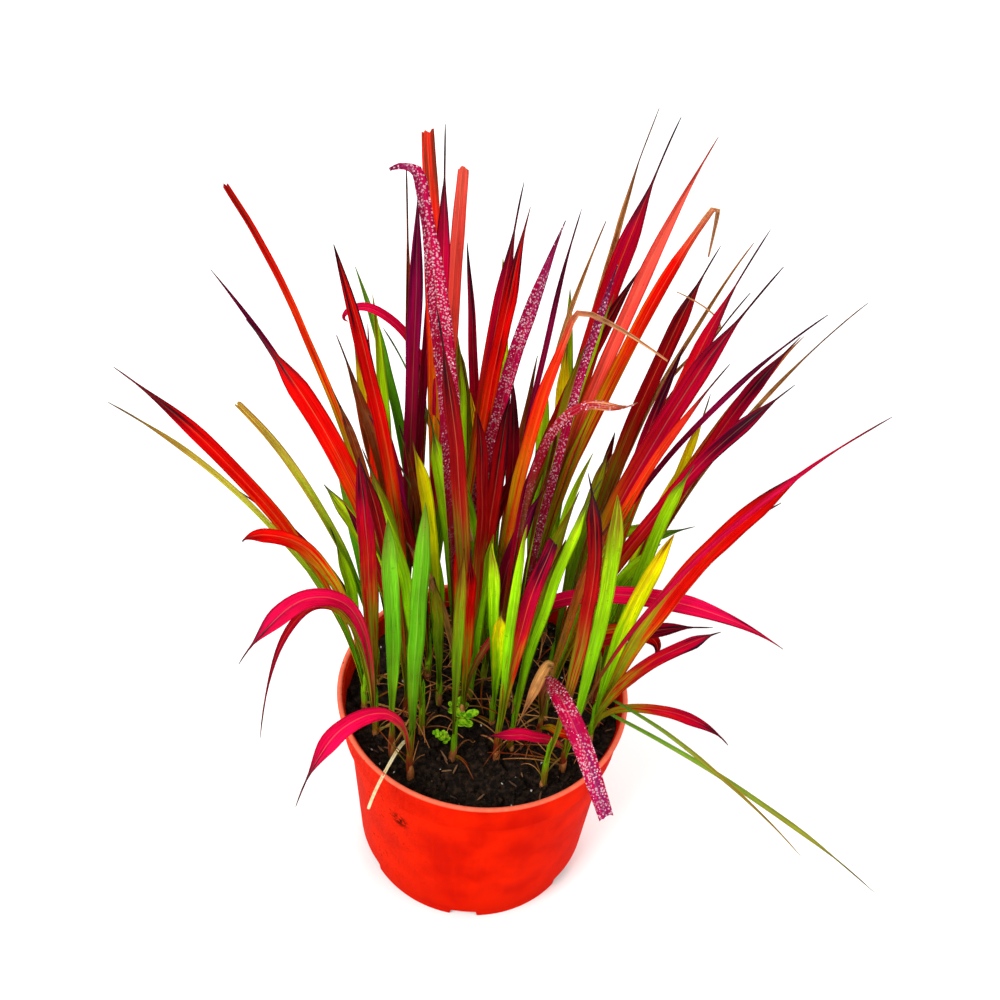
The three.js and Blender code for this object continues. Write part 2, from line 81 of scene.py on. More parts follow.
class Value:
    """A node's output in a material. Python's sums and products on it add Math nodes."""

    def __init__(self, tree, socket=None):
        self.tree = tree
        self.socket = socket

    def node(self, kind, settings=None, sockets=None, output=0):
        """Adds any other node: first its settings, then its sockets' values or links."""
        made = self.tree.nodes.new("ShaderNode" + kind)
        for name, setting in (settings or {}).items():
            setattr(made, name, setting)
        for name, value in (sockets or {}).items():
            if isinstance(value, Value):
                self.tree.links.new(value.socket, made.inputs[name])
            else:
                made.inputs[name].default_value = value
        return Value(self.tree, made.outputs[output] if made.outputs else None)

    def maths(self, operation, first, second=0.0):
        return self.node("Math", {"operation": operation}, {0: first, 1: second})

    def __add__(self, other):
        return self.maths("ADD", self, other)

    __radd__ = __add__

    def __sub__(self, other):
        return self.maths("SUBTRACT", self, other)

    def __rsub__(self, other):
        return self.maths("SUBTRACT", other, self)

    def __mul__(self, other):
        return self.maths("MULTIPLY", self, other)

    __rmul__ = __mul__

    def axis(self, which):
        """The X, Y or Z of a vector: 0, 1 or 2."""
        return self.node("SeparateXYZ", {}, {"Vector": self}, which)

    def between(self, low, high):
        """0 up to low and 1 from high on, smooth between them. low may be the larger."""
        return self.node("MapRange", {"interpolation_type": "SMOOTHSTEP"},
                         {"Value": self, "From Min": low, "From Max": high})

    def blend(self, first, second, mode="MIX"):
        """The first colour where this value is 0, the second where it is 1."""
        settings = {"data_type": "RGBA", "blend_type": mode}
        return self.node("Mix", settings, {0: self, 6: first, 7: second}, 2)

    def grain(self, vector, scale, detail=3.0):
        """Cloudy noise from 0 to 1."""
        return self.node("TexNoise", {}, {"Vector": vector, "Scale": scale, "Detail": detail})

    def relief(self, height, depth):
        """A bump of this depth in metres, for a Normal socket."""
        return self.node("Bump", {}, {"Height": height, "Distance": depth, "Strength": 1.0})

    def coat_with(self, sockets):
        """Ends the material with its shader."""
        shader = self.node("BsdfPrincipled", {}, sockets)
        self.node("OutputMaterial", {}, {"Surface": shader})


def new_finish(name):
    """An empty material, a value to grow its nodes from, and its Object coordinates."""
    made = bpy.data.materials.new(name)
    made.use_nodes = True
    made.node_tree.nodes.clear()
    start = Value(made.node_tree)
    return made, start, start.node("TexCoord", output=3)


def tint(code):
    """A web colour as a linear RGBA colour."""
    parts = [int(code[i:i + 2], 16) / 255 for i in (1, 3, 5)]
    return tuple(((c + 0.055) / 1.055) ** 2.4 if c > 0.04 else c / 12.92 for c in parts) + (1.0,)


def floor_finish():
    made, start, place = new_finish("pale_floor")
    cloud = start.grain(place, 3.0)
    start.coat_with({
        "Base Color": cloud.blend(tint("#f7f6f4"), tint("#fbfbfa")),
        "Roughness": 0.7 + 0.1 * cloud,
        "Specular IOR Level": 0.2,
    })
    return made


def soft_box(place, aim, size, power):
    bpy.ops.object.light_add(type="AREA", location=place)
    box = bpy.context.object
    box.data.size = size
    box.data.energy = power
    box.rotation_euler = (Vector(aim) - Vector(place)).to_track_quat("-Z", "Y").to_euler()


FLOOR_SIZE = 9.0
FLOOR_LEVEL = -0.0003
bpy.ops.mesh.primitive_plane_add(size=FLOOR_SIZE, location=(0, 0, FLOOR_LEVEL))
floor = bpy.context.object
floor.name = "floor"
floor.data.materials.append(floor_finish())

PLANT_MIDDLE = (0.02, 0, 0.24)
ROOM_BRIGHTNESS = 0.85
soft_box((-0.9, -1.1, 1.5), PLANT_MIDDLE, 0.8, 28)
soft_box((1.3, -0.8, 1.1), PLANT_MIDDLE, 1.1, 9)
soft_box((0.1, 1.2, 1.5), PLANT_MIDDLE, 1.2, 12)
room = bpy.data.worlds.new("white_room")
room.use_nodes = True
room.node_tree.nodes["Background"].inputs["Color"].default_value = (1, 1, 1, 1)
room.node_tree.nodes["Background"].inputs["Strength"].default_value = ROOM_BRIGHTNESS
bpy.context.scene.world = room


# ---- Pot --------------------------------------------------------------------------------------
# A thin injection-moulded nursery pot of orange-red plastic: a tapered wall with a foot band and
# drain notches below, and an upright collar with a rolled lip above. It is scuffed and specked.

MM = 0.001
POT_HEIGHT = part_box("pot")[1].z
RIM_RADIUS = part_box("pot")[1].x
RIM_LIP = 3 * MM
COLLAR_RADIUS = RIM_RADIUS - RIM_LIP + 0.6 * MM
COLLAR_FOOT = POT_HEIGHT - 27 * MM
COLLAR_STEP = 2.2 * MM
BODY_TOP_RADIUS = COLLAR_RADIUS - 2 * COLLAR_STEP
FOOT_RADIUS = 68 * MM
FOOT_TOP_RADIUS = FOOT_RADIUS + 1 * MM
FOOT_HEIGHT = 13 * MM
FOOT_STEP = 2 * MM
WALL = 1.6 * MM
FLOOR = 2 * MM
POT_SIDES = 120
NOTCHES = 6
NOTCH_WIDTH = 16 * MM
NOTCH_HEIGHT = 5 * MM
NOTCH_DEPTH = 9 * MM
POT_BEVEL = 0.35 * MM
POT_CREASE = 30
POT_RED = "#d81a00"
STAIN = Vector((-41 * MM, -65 * MM, 92 * MM))


def pot_profile():
    """Radius and height from the edge of the underside up, over the lip and down inside."""
    lip = RIM_LIP / 2
    middle = RIM_RADIUS - lip
    rolled = [(middle + lip * math.cos(a), POT_HEIGHT - lip + lip * math.sin(a))
              for a in (math.radians(d) for d in range(-60, 181, 24))]
    return [
        (FOOT_RADIUS, 0), (FOOT_TOP_RADIUS, FOOT_HEIGHT - FOOT_STEP),
        (FOOT_TOP_RADIUS + FOOT_STEP, FOOT_HEIGHT), (BODY_TOP_RADIUS, COLLAR_FOOT),
        (COLLAR_RADIUS - 0.8 * MM, COLLAR_FOOT + COLLAR_STEP),
        (COLLAR_RADIUS, POT_HEIGHT - RIM_LIP), *rolled,
        (COLLAR_RADIUS - WALL, POT_HEIGHT - RIM_LIP),
        (COLLAR_RADIUS - 0.8 * MM - WALL, COLLAR_FOOT + COLLAR_STEP + 0.6 * MM),
        (BODY_TOP_RADIUS - WALL, COLLAR_FOOT - 0.6 * MM),
        (FOOT_TOP_RADIUS + FOOT_STEP - WALL, FOOT_HEIGHT + 0.6 * MM),
        (FOOT_TOP_RADIUS - WALL, FOOT_HEIGHT - FOOT_STEP + 0.6 * MM), (FOOT_RADIUS - WALL, FLOOR),
    ]


def draw_up(profile, sides, name):
    """A round body: a disc drawn through a profile, ring by ring, and left in edit mode."""
    radius, height = profile[0]
    bpy.ops.mesh.primitive_circle_add(vertices=sides, radius=radius, fill_type="NGON",
                                      location=(0, 0, 0))
    body = bpy.context.object
    body.name = name
    bpy.ops.object.mode_set(mode="EDIT")
    bpy.ops.transform.translate(value=(0, 0, height))
    for wider, higher in profile[1:]:
        rise = {"value": (0, 0, higher - height)}
        bpy.ops.mesh.extrude_region_move(TRANSFORM_OT_translate=rise)
        share = wider / radius
        bpy.ops.transform.resize(value=(share, share, 1), center_override=(0, 0, higher))
        radius, height = wider, higher
    return body


def take_alone(piece):
    bpy.ops.object.select_all(action="DESELECT")
    piece.select_set(True)
    bpy.context.view_layer.objects.active = piece


def smooth(piece, crease):
    """Shades a piece smooth but for its edges over the crease."""
    take_alone(piece)
    bpy.ops.object.shade_smooth_by_angle(angle=math.radians(crease))


def close_up(piece, crease):
    """Ends modelling in edit mode: faces outwards, and smooth but for edges over the crease."""
    bpy.ops.mesh.select_all(action="SELECT")
    bpy.ops.mesh.normals_make_consistent(inside=False)
    bpy.ops.object.mode_set(mode="OBJECT")
    smooth(piece, crease)


def add_modifier(piece, kind, **settings):
    """Puts a modifier on a piece and applies it."""
    take_alone(piece)
    modifier = piece.modifiers.new(kind.lower(), kind)
    for name, setting in settings.items():
        setattr(modifier, name, setting)
    bpy.ops.object.modifier_apply(modifier=modifier.name)


def join(pieces, name):
    """Makes one piece of several."""
    bpy.ops.object.select_all(action="DESELECT")
    for piece in pieces:
        piece.select_set(True)
    bpy.context.view_layer.objects.active = pieces[0]
    bpy.ops.object.join()
    pieces[0].name = name
    return pieces[0]


def settle(piece, finish, slot, *nodes):
    """Gives a finished piece its material and hides the CAD nodes that it stands for. The slot is not
    used.
    """
    piece.data.materials.clear()
    piece.data.materials.append(finish)
    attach(piece, "root")
    if nodes:
        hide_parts(*nodes)
    take_alone(piece)
    piece.select_set(False)


def cut_notches(pot):
    """Cuts the drain notches where the wall meets the floor: flat above, with sloped sides."""
    cutters = []
    for i in range(NOTCHES):
        angle = 2 * math.pi * i / NOTCHES - math.pi / 2
        bpy.ops.mesh.primitive_cube_add(size=1)
        cutter = bpy.context.object
        for vertex in cutter.data.vertices:
            vertex.co.y *= NOTCH_WIDTH * (1.06 - 0.2 * vertex.co.z)
        lying = Matrix.Rotation(angle, 4, "Z") @ Matrix.Translation((FOOT_RADIUS, 0, 0))
        cutter.data.transform(lying @ Matrix.Diagonal((NOTCH_DEPTH, 1, 2 * NOTCH_HEIGHT, 1)))
        cutters.append(cutter)
    cutter = join(cutters, "notch_cutter")
    add_modifier(pot, "BOOLEAN", object=cutter, operation="DIFFERENCE", solver="EXACT")
    bpy.data.objects.remove(cutter)


def pot_finish():
    """Orange-red plastic with moulding streaks, fine grain, specks and a stain, and painted light:
    a highlight on the lip, a paler left side, and shade at the collar step and towards the foot.
    """
    made, start, place = new_finish("nursery_pot_plastic")
    across, height = place.axis(0), place.axis(2)
    left = across.between(0.0, -0.07)
    cloud = start.grain(place, 38.0, 4.0)
    stretched = start.node("Mapping", {}, {"Vector": place, "Scale": (1, 1, 0.12)})
    streaks = start.grain(stretched, 260.0, 2.0)
    skin = start.grain(place, 2600.0, 2.0)
    colour = cloud.between(0.3, 0.7).blend(tint("#b80c00"), tint(POT_RED))
    colour = (streaks.between(0.5, 0.75) * 0.2).blend(colour, tint("#dd1e00"))
    # Painted highlight: the left side, toward the key light, is painted a paler, grainy orange.
    lit_side_sheen = left * start.grain(place, 700.0, 3.0).between(0.35, 0.7)
    colour = (lit_side_sheen * 0.22).blend(colour, tint("#ea4a20"))
    # Painted highlight: a thin salmon line along the outer lip, broken by the streaks.
    lip_highlight = height.between(POT_HEIGHT - 1.8 * MM, POT_HEIGHT - 0.6 * MM)
    colour = (lip_highlight * (0.3 + 0.4 * streaks)).blend(colour, tint("#f58a68"))
    # Painted shade: a dark band in the step at the foot of the collar.
    collar_step_shade = start.maths("ABSOLUTE", height - (COLLAR_FOOT + 1.2 * MM)).between(1.6 * MM, 0.3 * MM)
    colour = (collar_step_shade * 0.5).blend(colour, tint("#8c0a00"))
    # Painted shade: the pot turns darker towards its bottom, in blotches.
    low = height.between(0.045, 0.0) * cloud.between(0.35, 0.65)
    colour = (low * 0.4).blend(colour, tint("#9c0c00"))
    specks = start.grain(place, 460.0, 1.0).between(0.68, 0.72) * left * cloud.between(0.4, 0.55)
    away = start.node("VectorMath", {"operation": "DISTANCE"}, {0: place, 1: STAIN}, 1)
    smudge = away.between(0.0085, 0.002) * start.grain(place, 380.0, 3.0).between(0.4, 0.5)
    scratches = start.node("Mapping", {}, {"Vector": place, "Scale": (1, 1, 0.05)})
    scuffs = start.grain(scratches, 800.0, 1.0).between(0.7, 0.76) * left
    dirt = start.maths("MAXIMUM", start.maths("MAXIMUM", specks, smudge), scuffs * 0.5)
    colour = dirt.blend(colour, tint("#4a0c04"))
    start.coat_with({
        "Base Color": colour,
        "Roughness": 0.4 + 0.16 * cloud + 0.3 * dirt,
        "IOR": 1.03,
        "Normal": start.relief(skin + 2.0 * streaks + 3.0 * cloud, 0.00016),
    })
    return made


pot = draw_up(pot_profile(), POT_SIDES, "pot_shell")
close_up(pot, POT_CREASE)
add_modifier(pot, "BEVEL", width=POT_BEVEL, segments=2, limit_method="ANGLE",
             angle_limit=math.radians(35))
cut_notches(pot)
smooth(pot, POT_CREASE)
settle(pot, pot_finish(), "pot_plastic", "pot")


# ---- Soil -------------------------------------------------------------------------------------
# Damp black peat compost fills the pot to below its rim: a crumbled surface with loose crumbs on
# it, a few grains of white perlite and slivers of brown bark.

SOIL_LEVEL = POT_HEIGHT - 15 * MM
SOIL_EDGE = COLLAR_RADIUS - WALL - 0.6 * MM
SOIL_SIDES = 168
SOIL_RINGS = 56
CLOD_DEPTH = 3.4 * MM
CRUMB_CREASE = 35
CRUMBS = 900
FLECKS = 90
scatter = random.Random(41)


def soil_height(x, y):
    """The rough level of the soil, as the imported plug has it."""
    a, b = x / MM, y / MM
    lumps = math.sin(a * 0.21 + 1.3) * math.cos(b * 0.17) + 0.6 * math.sin((a - b) * 0.43)
    settled = -3 * (x * x + y * y) / (RIM_RADIUS * RIM_RADIUS)
    return SOIL_LEVEL + (1.1 * lumps + settled) * MM


def clods(x, y):
    """Round clods with cracks between them, in two sizes."""
    big = noise.voronoi(Vector((x, y, 0)) * 165)[0]
    small = noise.voronoi(Vector((x, y, 0.5)) * 420)[0]
    return CLOD_DEPTH * ((big[1] - big[0]) * 1.3 + (small[1] - small[0]) * 0.5 - 0.7)


def make_soil():
    wall = 0.45 * MM + WALL
    profile = [
        (FOOT_RADIUS - wall, FLOOR + 0.3 * MM), (FOOT_TOP_RADIUS - wall, FOOT_HEIGHT - FOOT_STEP),
        (FOOT_TOP_RADIUS + FOOT_STEP - wall, FOOT_HEIGHT + 1 * MM),
        (BODY_TOP_RADIUS - wall, COLLAR_FOOT - 1 * MM), (SOIL_EDGE - 0.5 * MM, COLLAR_FOOT + 3 * MM),
        (SOIL_EDGE, SOIL_LEVEL)]
    soil = draw_up(profile, SOIL_SIDES, "soil_plug")
    for _ in range(SOIL_RINGS):
        bpy.ops.mesh.inset(thickness=0.97 * SOIL_EDGE / SOIL_RINGS)
    bpy.ops.mesh.poke()
    close_up(soil, 180)
    for vertex in soil.data.vertices:
        x, y, z = vertex.co
        if z > SOIL_LEVEL - 0.1 * MM:
            vertex.co.z = soil_height(x, y) + clods(x, y)
    return soil


def make_clod(name, cuts, rough):
    """One loose crumb, 2 across and rough, which the scattered ones are copied from."""
    bpy.ops.mesh.primitive_ico_sphere_add(subdivisions=cuts, radius=1)
    clod = bpy.context.object
    clod.name = name
    for vertex in clod.data.vertices:
        vertex.co *= 1 + rough * noise.noise(vertex.co * 1.4 + Vector((7.1, 0, 0)))
    return clod


def on_soil(reach=0.96):
    """A random place on the soil's surface."""
    angle = scatter.uniform(0, 2 * math.pi)
    radius = reach * SOIL_EDGE * math.sqrt(scatter.random())
    x, y = radius * math.cos(angle), radius * math.sin(angle)
    return Vector((x, y, soil_height(x, y)))


def lay_copy(pattern, place, scale, turn):
    """A copy of a pattern, with a mesh of its own, lying at a place."""
    laid = pattern.copy()
    laid.data = pattern.data.copy()
    bpy.context.scene.collection.objects.link(laid)
    laid.data.transform(Matrix.Translation(place) @ turn @ Matrix.Diagonal((*scale, 1)))
    return laid


def any_turn():
    axis = Vector([scatter.uniform(-1, 1) for _ in range(3)])
    return Matrix.Rotation(scatter.uniform(0, 6.28), 4, axis)


def scatter_crumbs():
    """Loose crumbs all over the soil, many small and some large."""
    fine, coarse = make_clod("fine_clod", 1, 0.5), make_clod("coarse_clod", 2, 0.9)
    laid = []
    for i in range(CRUMBS):
        pattern = coarse if i % 5 == 0 else fine
        size = (scatter.uniform(1.6, 3.8) if i % 5 == 0 else scatter.uniform(0.5, 1.6)) * MM
        scale = [size * scatter.uniform(0.7, 1.2) for _ in range(3)]
        laid.append(lay_copy(pattern, on_soil(), scale, any_turn()))
    crumbs = join(laid, "soil_crumbs")
    smooth(crumbs, CRUMB_CREASE)
    bpy.data.objects.remove(coarse)
    return crumbs, fine


def scatter_flecks(clod):
    """Perlite grains, short and white, and bark slivers, long and brown."""
    laid = []
    for i in range(FLECKS):
        long = scatter.uniform(2.0, 4.5) * MM if i % 3 else 0.8 * MM
        scale = (long, scatter.uniform(0.4, 0.8) * MM, scatter.uniform(0.3, 0.6) * MM)
        turn = Matrix.Rotation(scatter.uniform(0, 6.28), 4, "Z")
        place = on_soil() + Vector((0, 0, scatter.uniform(0.5, 1.4) * MM))
        fleck = lay_copy(clod, place, scale, turn)
        shade = fleck.data.attributes.new("fleck_tint", "FLOAT_COLOR", "POINT")
        code = scatter.choice(("#6a4426", "#7d5634", "#4a2c18")) if i % 3 else "#cfc9bd"
        shade.data.foreach_set("color", list(tint(code)) * len(fleck.data.vertices))
        laid.append(fleck)
    bpy.data.objects.remove(clod)
    return join(laid, "perlite_and_bark")


def soil_finish():
    """Damp peat: near-black, browner on the high crumbs, with a few wet glints and with
    painted highlights as pale brown specks.
    """
    made, start, place = new_finish("damp_peat")
    lumps = start.grain(place, 340.0, 5.0)
    fine = start.grain(place, 1500.0, 4.0)
    colour = lumps.between(0.4, 0.75).blend(tint("#120d09"), tint("#3a2a1e"))
    # Painted highlights: pale brown specks on the fine grain stand for glints of light on the peat.
    colour = (fine.between(0.62, 0.74) * 0.55).blend(colour, tint("#6e543c"))
    start.coat_with({
        "Base Color": colour,
        "Roughness": 0.95 - 0.5 * start.grain(place, 700.0).between(0.6, 0.7),
        "IOR": 1.2,
        "Normal": start.relief(lumps + 0.5 * fine, 0.0022),
    })
    return made


def fleck_finish():
    made, start, place = new_finish("perlite_and_bark")
    own = start.node("Attribute", {"attribute_name": "fleck_tint"})
    pores = start.grain(place, 2400.0)
    start.coat_with({
        "Base Color": (pores.between(0.4, 0.7) * 0.5).blend(own, tint("#2a1a12")),
        "Roughness": 0.75 + 0.2 * pores,
        "Normal": start.relief(pores, 0.0004),
    })
    return made


peat = soil_finish()
settle(make_soil(), peat, "potting_soil", "soil")
crumbs, clod = scatter_crumbs()
settle(crumbs, peat, "potting_soil")
settle(scatter_flecks(clod), fleck_finish(), "potting_soil")


# ---- Shoots -----------------------------------------------------------------------------------
# Each shoot is a sheath rolled round its stem, with long narrow blades that come out of it and
# turn from green at the foot to red above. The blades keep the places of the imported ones, which
# are grown here again by the same rules.

# Rings of shoots: radius, count, first and last angle.
RINGS = ((16, 5, -60, 228), (40, 11, -70, 250), (66, 19, -55, 235))
# How wide a leaf grows.
THREAD, SLIM, BLADE, BROAD = 3, 5, 8, 11
# The leaves by how far back their tips lie, the front ones first: the tip (across, up), the
# width, the tone, and for some a crest, the end of a folded tail, a torn end or their own root.
LAYERS = (
    (-100, (
        (-92, 151, BROAD, "pink", dict(over=(-58, 208))),
        (69, 165, BROAD, "dew", dict(over=(34, 218), root=(28, -30), blunt=True)),
        (179, 140, THREAD, "reed", dict(over=(84, 179), root=(68, -14))),
        (222, 116, THREAD, "reed", dict(over=(90, 165), root=(68, -14))),
    )),
    (-60, (
        (-120, 150, SLIM, "crimson", dict(over=(-88, 250))),
        (-125, 215, BROAD, "pink", dict(over=(-80, 262))),
        (20, 180, BLADE, "tan", dict(over=(36, 210), root=(30, -20))),
        (67, 167, SLIM, "red"),
    )),
    (-40, (
        (-177, 365, THREAD, "pale"),
        (-122, 284, BLADE, "red", dict(over=(-105, 291))),
        (-33, 432, BLADE, "dark"),
        (-62, 334, BLADE, "lime"),
        (-2, 298, BLADE, "lime"),
        (6, 250, BLADE, "yellow"),
        (-12, 292, BLADE, "red"),
        (57, 394, SLIM, "damp", dict(over=(24, 376), root=(0, -12))),
        (28, 305, BLADE, "crimson", dict(blunt=True)),
        (157, 237, BROAD, "pink", dict(over=(62, 255), root=(5, -15))),
        (119, 248, BLADE, "crimson"),
        (139, 155, BLADE, "crimson", dict(over=(95, 172))),
        (148, 375, BROAD, "red"),
        (135, 342, SLIM, "dark"),
        (168, 398, THREAD, "pink"),
        (4, 145, BLADE, "pink", dict(over=(30, 150), root=(45, -45))),
    )),
    (-20, (
        (-182, 370, BLADE, "red"),
        (-17, 290, BLADE, "red", dict(tail=(-12, 278))),
        (-46, 273, SLIM, "tan"),
        (10, 268, SLIM, "purple"),
    )),
    (0, (
        (-46, 473, BROAD, "dew", dict(tail=(-58, 472))),
        (42, 436, SLIM, "dew"),
        (-80, 429, BLADE, "red"),
        (-124, 389, BROAD, "red"),
        (-133, 340, SLIM, "pale", dict(blunt=True)),
        (-145, 288, SLIM, "purple"),
        (115, 445, BROAD, "crimson"),
        (99, 387, SLIM, "orange"),
        (136, 413, BLADE, "glow"),
        (158, 432, THREAD, "tan"),
        (133, 411, BLADE, "crimson"),
        (134, 381, BLADE, "crimson"),
        (138, 420, THREAD, "purple"),
        (43, 423, SLIM, "lime"),
        (27, 410, BLADE, "orange", dict(tail=(70, 385))),
        (122, 208, BLADE, "crimson"),
        (94, 180, BLADE, "red", dict(over=(84, 192))),
        (-89, 289, BLADE, "lime"),
        (-34, 340, BLADE, "lime"),
        (-52, 333, SLIM, "brown"),
        (-66, 337, SLIM, "purple"),
        (-58, 303, SLIM, "dark"),
        (21, 298, BLADE, "purple"),
        (84, 268, BLADE, "lime"),
        (88, 250, BLADE, "lime"),
        (77, 228, SLIM, "brown"),
    )),
    (50, (
        (83, 477, BLADE, "salmon"),
        (88, 442, BLADE, "red", dict(tail=(88, 412))),
        (113, 428, BLADE, "crimson"),
        (108, 422, THREAD, "tan"),
        (113, 396, SLIM, "brown"),
        (93, 419, BLADE, "dark"),
        (103, 374, THREAD, "tan", dict(tail=(76, 390))),
        (60, 409, BLADE, "dark"),
        (38, 428, THREAD, "tan"),
        (26, 434, THREAD, "purple"),
        (19, 426, BLADE, "dew"),
        (2, 432, BLADE, "red"),
        (-2, 446, BLADE, "crimson"),
        (-9, 402, BLADE, "lime"),
        (26, 369, BLADE, "yellow"),
        (-31, 453, BLADE, "salmon", dict(blunt=True)),
        (-47, 465, BLADE, "orange", dict(blunt=True)),
        (-39, 467, BLADE, "pink"),
        (-40, 442, SLIM, "purple"),
        (-50, 436, BLADE, "purple"),
        (-56, 445, THREAD, "brown"),
        (-142, 431, SLIM, "ember", dict(blunt=True)),
        (-84, 357, BLADE, "yellow"),
        (-154, 382, SLIM, "purple"),
        (-74, 355, SLIM, "red"),
        (-83, 354, SLIM, "pink", dict(over=(-72, 365))),
        (-66, 353, THREAD, "mint"),
        (109, 235, SLIM, "green"),
        (98, 240, BLADE, "lime"),
    )),
    (80, (
        (57, 470, SLIM, "tan"),
        (67, 464, BROAD, "crimson"),
    )),
)
TONES = {
    "lime": "0 7e7e26, 12 74a414, 50 98cc14, 85 b8dc24, 100 8a7a2a",
    "yellow": "0 6a9a14, 30 9ccb10, 60 e2e60c, 90 efd21a, 100 7a3a1a",
    "green": "0 6a7e1e, 30 5c941a, 80 72a82e, 100 7a8a3a",
    "olive": "0 5a5a1c, 25 5f7a16, 55 7c9a1a, 80 8a7a1e, 100 6a3a1a",
    "reed": "0 8aa03a, 40 7fae48, 75 9aa24a, 100 b8984a",
    "red": "0 7f8e22, 20 949c22, 36 c85c1a, 50 d0200e, 84 c00a10, 92 4a0a1a, 100 2e1420",
    "crimson": "0 7a8a22, 20 8a8c22, 36 b43e1a, 50 b81626, 70 a80c40, 82 9a0c40, 90 4a0a26, 100 2e1424",
    "dark": "0 6a801e, 25 786c1e, 38 962418, 70 8a0c1c, 88 3a0814, 100 281018",
    "purple": "0 5a6a20, 22 6a2a1c, 40 820e34, 80 8a1656, 90 3a0c24, 100 2a1020",
    "pink": "0 6a7a24, 12 8a3a30, 26 b8104a, 75 d41a5c, 94 a81a50, 100 4a1428",
    "dew": "0 5e5a20, 20 6a1c24, 40 8e0e36, 80 a41a58, 100 7a2a5c",
    "damp": "0 5e5a20, 20 7a1c28, 50 a01240, 72 b04a48, 85 d8a878, 100 a87a50",
    "orange": "0 5e8a18, 25 9a9a1a, 45 d8641a, 70 dc3c22, 95 d84a3a, 100 7a3a2a",
    "salmon": "0 6a8a20, 20 9a8a2a, 38 d85a3a, 55 f0665a, 92 f47c6e, 100 c86a58",
    "mint": "0 5a7a1c, 30 5fa62e, 75 9ad08a, 100 8aa87a",
    "ember": "0 5e8a18, 25 9a9a1a, 45 d8641a, 62 c82a12, 90 a01410, 100 6a1010",
    "glow": "0 5e8a18, 25 9a9a1a, 45 e08a1a, 70 e8721a, 82 d8a060, 100 c89a68",
    "pale": "0 5fa60e, 30 8ccb30, 60 d0d850, 80 dcc86a, 100 b08a4a",
    "tan": "0 8a8a4a, 20 b89a5a, 60 ddb27a, 100 a87a50",
    "brown": "0 6a7222, 30 8a5e26, 65 965028, 100 4e2a1a",
    "sheath": "0 8a5a34, 12 6e5a1e, 40 6a8a1c, 100 6fa01c",
    "red_sheath": "0 8a5a44, 15 6e2a24, 55 6a4a1e, 100 6a8a20",
    "husk": "0 6e4a2e, 50 9a7048, 100 c0986a",
    "straw": "0 e6cf9a, 40 f6ecc8, 100 efdcae",
}
DRY_TONES = ("tan", "brown", "husk", "straw")
DRY_END = "#d2a271"
DARK_END = "#33202c"
LIGHT = Vector((0, 0.72, -0.69))
GROUND = round(SOIL_LEVEL / MM)
LEAF_START, LEAF_STAGGER, LEAF_SEAT = 22, 5, 0.9
FULL_AT, DROOP_FULL_AT, LEAF_DROOP = 0.42, 0.7, 4
STATION_SPACING, FEWEST_STEPS = 46, 4
TAIL_REACH, TAIL_RISE, TAIL_SHARE, TAIL_END = 0.2, 6, 0.55, 0.12
PACKED_TAIL = {1.1: 0.34, 1.2: 0.15}
LEAN_TRIES, LEAN_STEP = 12, 5
BOWS, BOW_WEIGHT = (0, 5, -5, 10, -10), 2.5
FOUND_WITHIN, FEWEST_FOUND, ALL_CORNERS = 0.05, 3, 12
STRAY = 3
LEAVES_EACH = 3
LOW_SHARE, HIGH_SHARE = (0.2, 0.4), (0.56, 0.74)
TO_CREST, FROM_CREST = (0.5, 0.8), (0.35, 0.15)
ROOT_SHARE = (0.42, 0.5)
DEPTH_SPREAD = 12
FILL_SHOOTS, FILL_LEAVES, FILL_FRONT = 13, 3, -30
SHOOT_SPACING = 9
TUFT_RADIUS = 66
BLADE_THICKNESS = 0.65
seed = 20817
DRIFT_SEED = 5
noise.seed_set(DRIFT_SEED)


def draw(low, high):
    """The part's own row of pseudo-random numbers."""
    global seed
    seed = (seed * 1664525 + 1013904223) % 4294967296
    return low + (high - low) * seed / 4294967296


def held(value):
    """A value held between 0 and 1."""
    return min(1.0, max(0.0, value))


def between(start, end, share):
    return start + (end - start) * share


def guides(foot, tip, over):
    """The points (across, up) of a leaf's middle line at a third and two thirds of its length."""
    if not over:
        return [(between(foot.x, tip.x, across), between(foot.z, tip.z, up))
                for across, up in (LOW_SHARE, HIGH_SHARE)]
    return [(between(foot.x, over[0], TO_CREST[0]), between(foot.z, over[1], TO_CREST[1])),
            (between(over[0], tip.x, FROM_CREST[0]), between(over[1], tip.z, FROM_CREST[1]))]


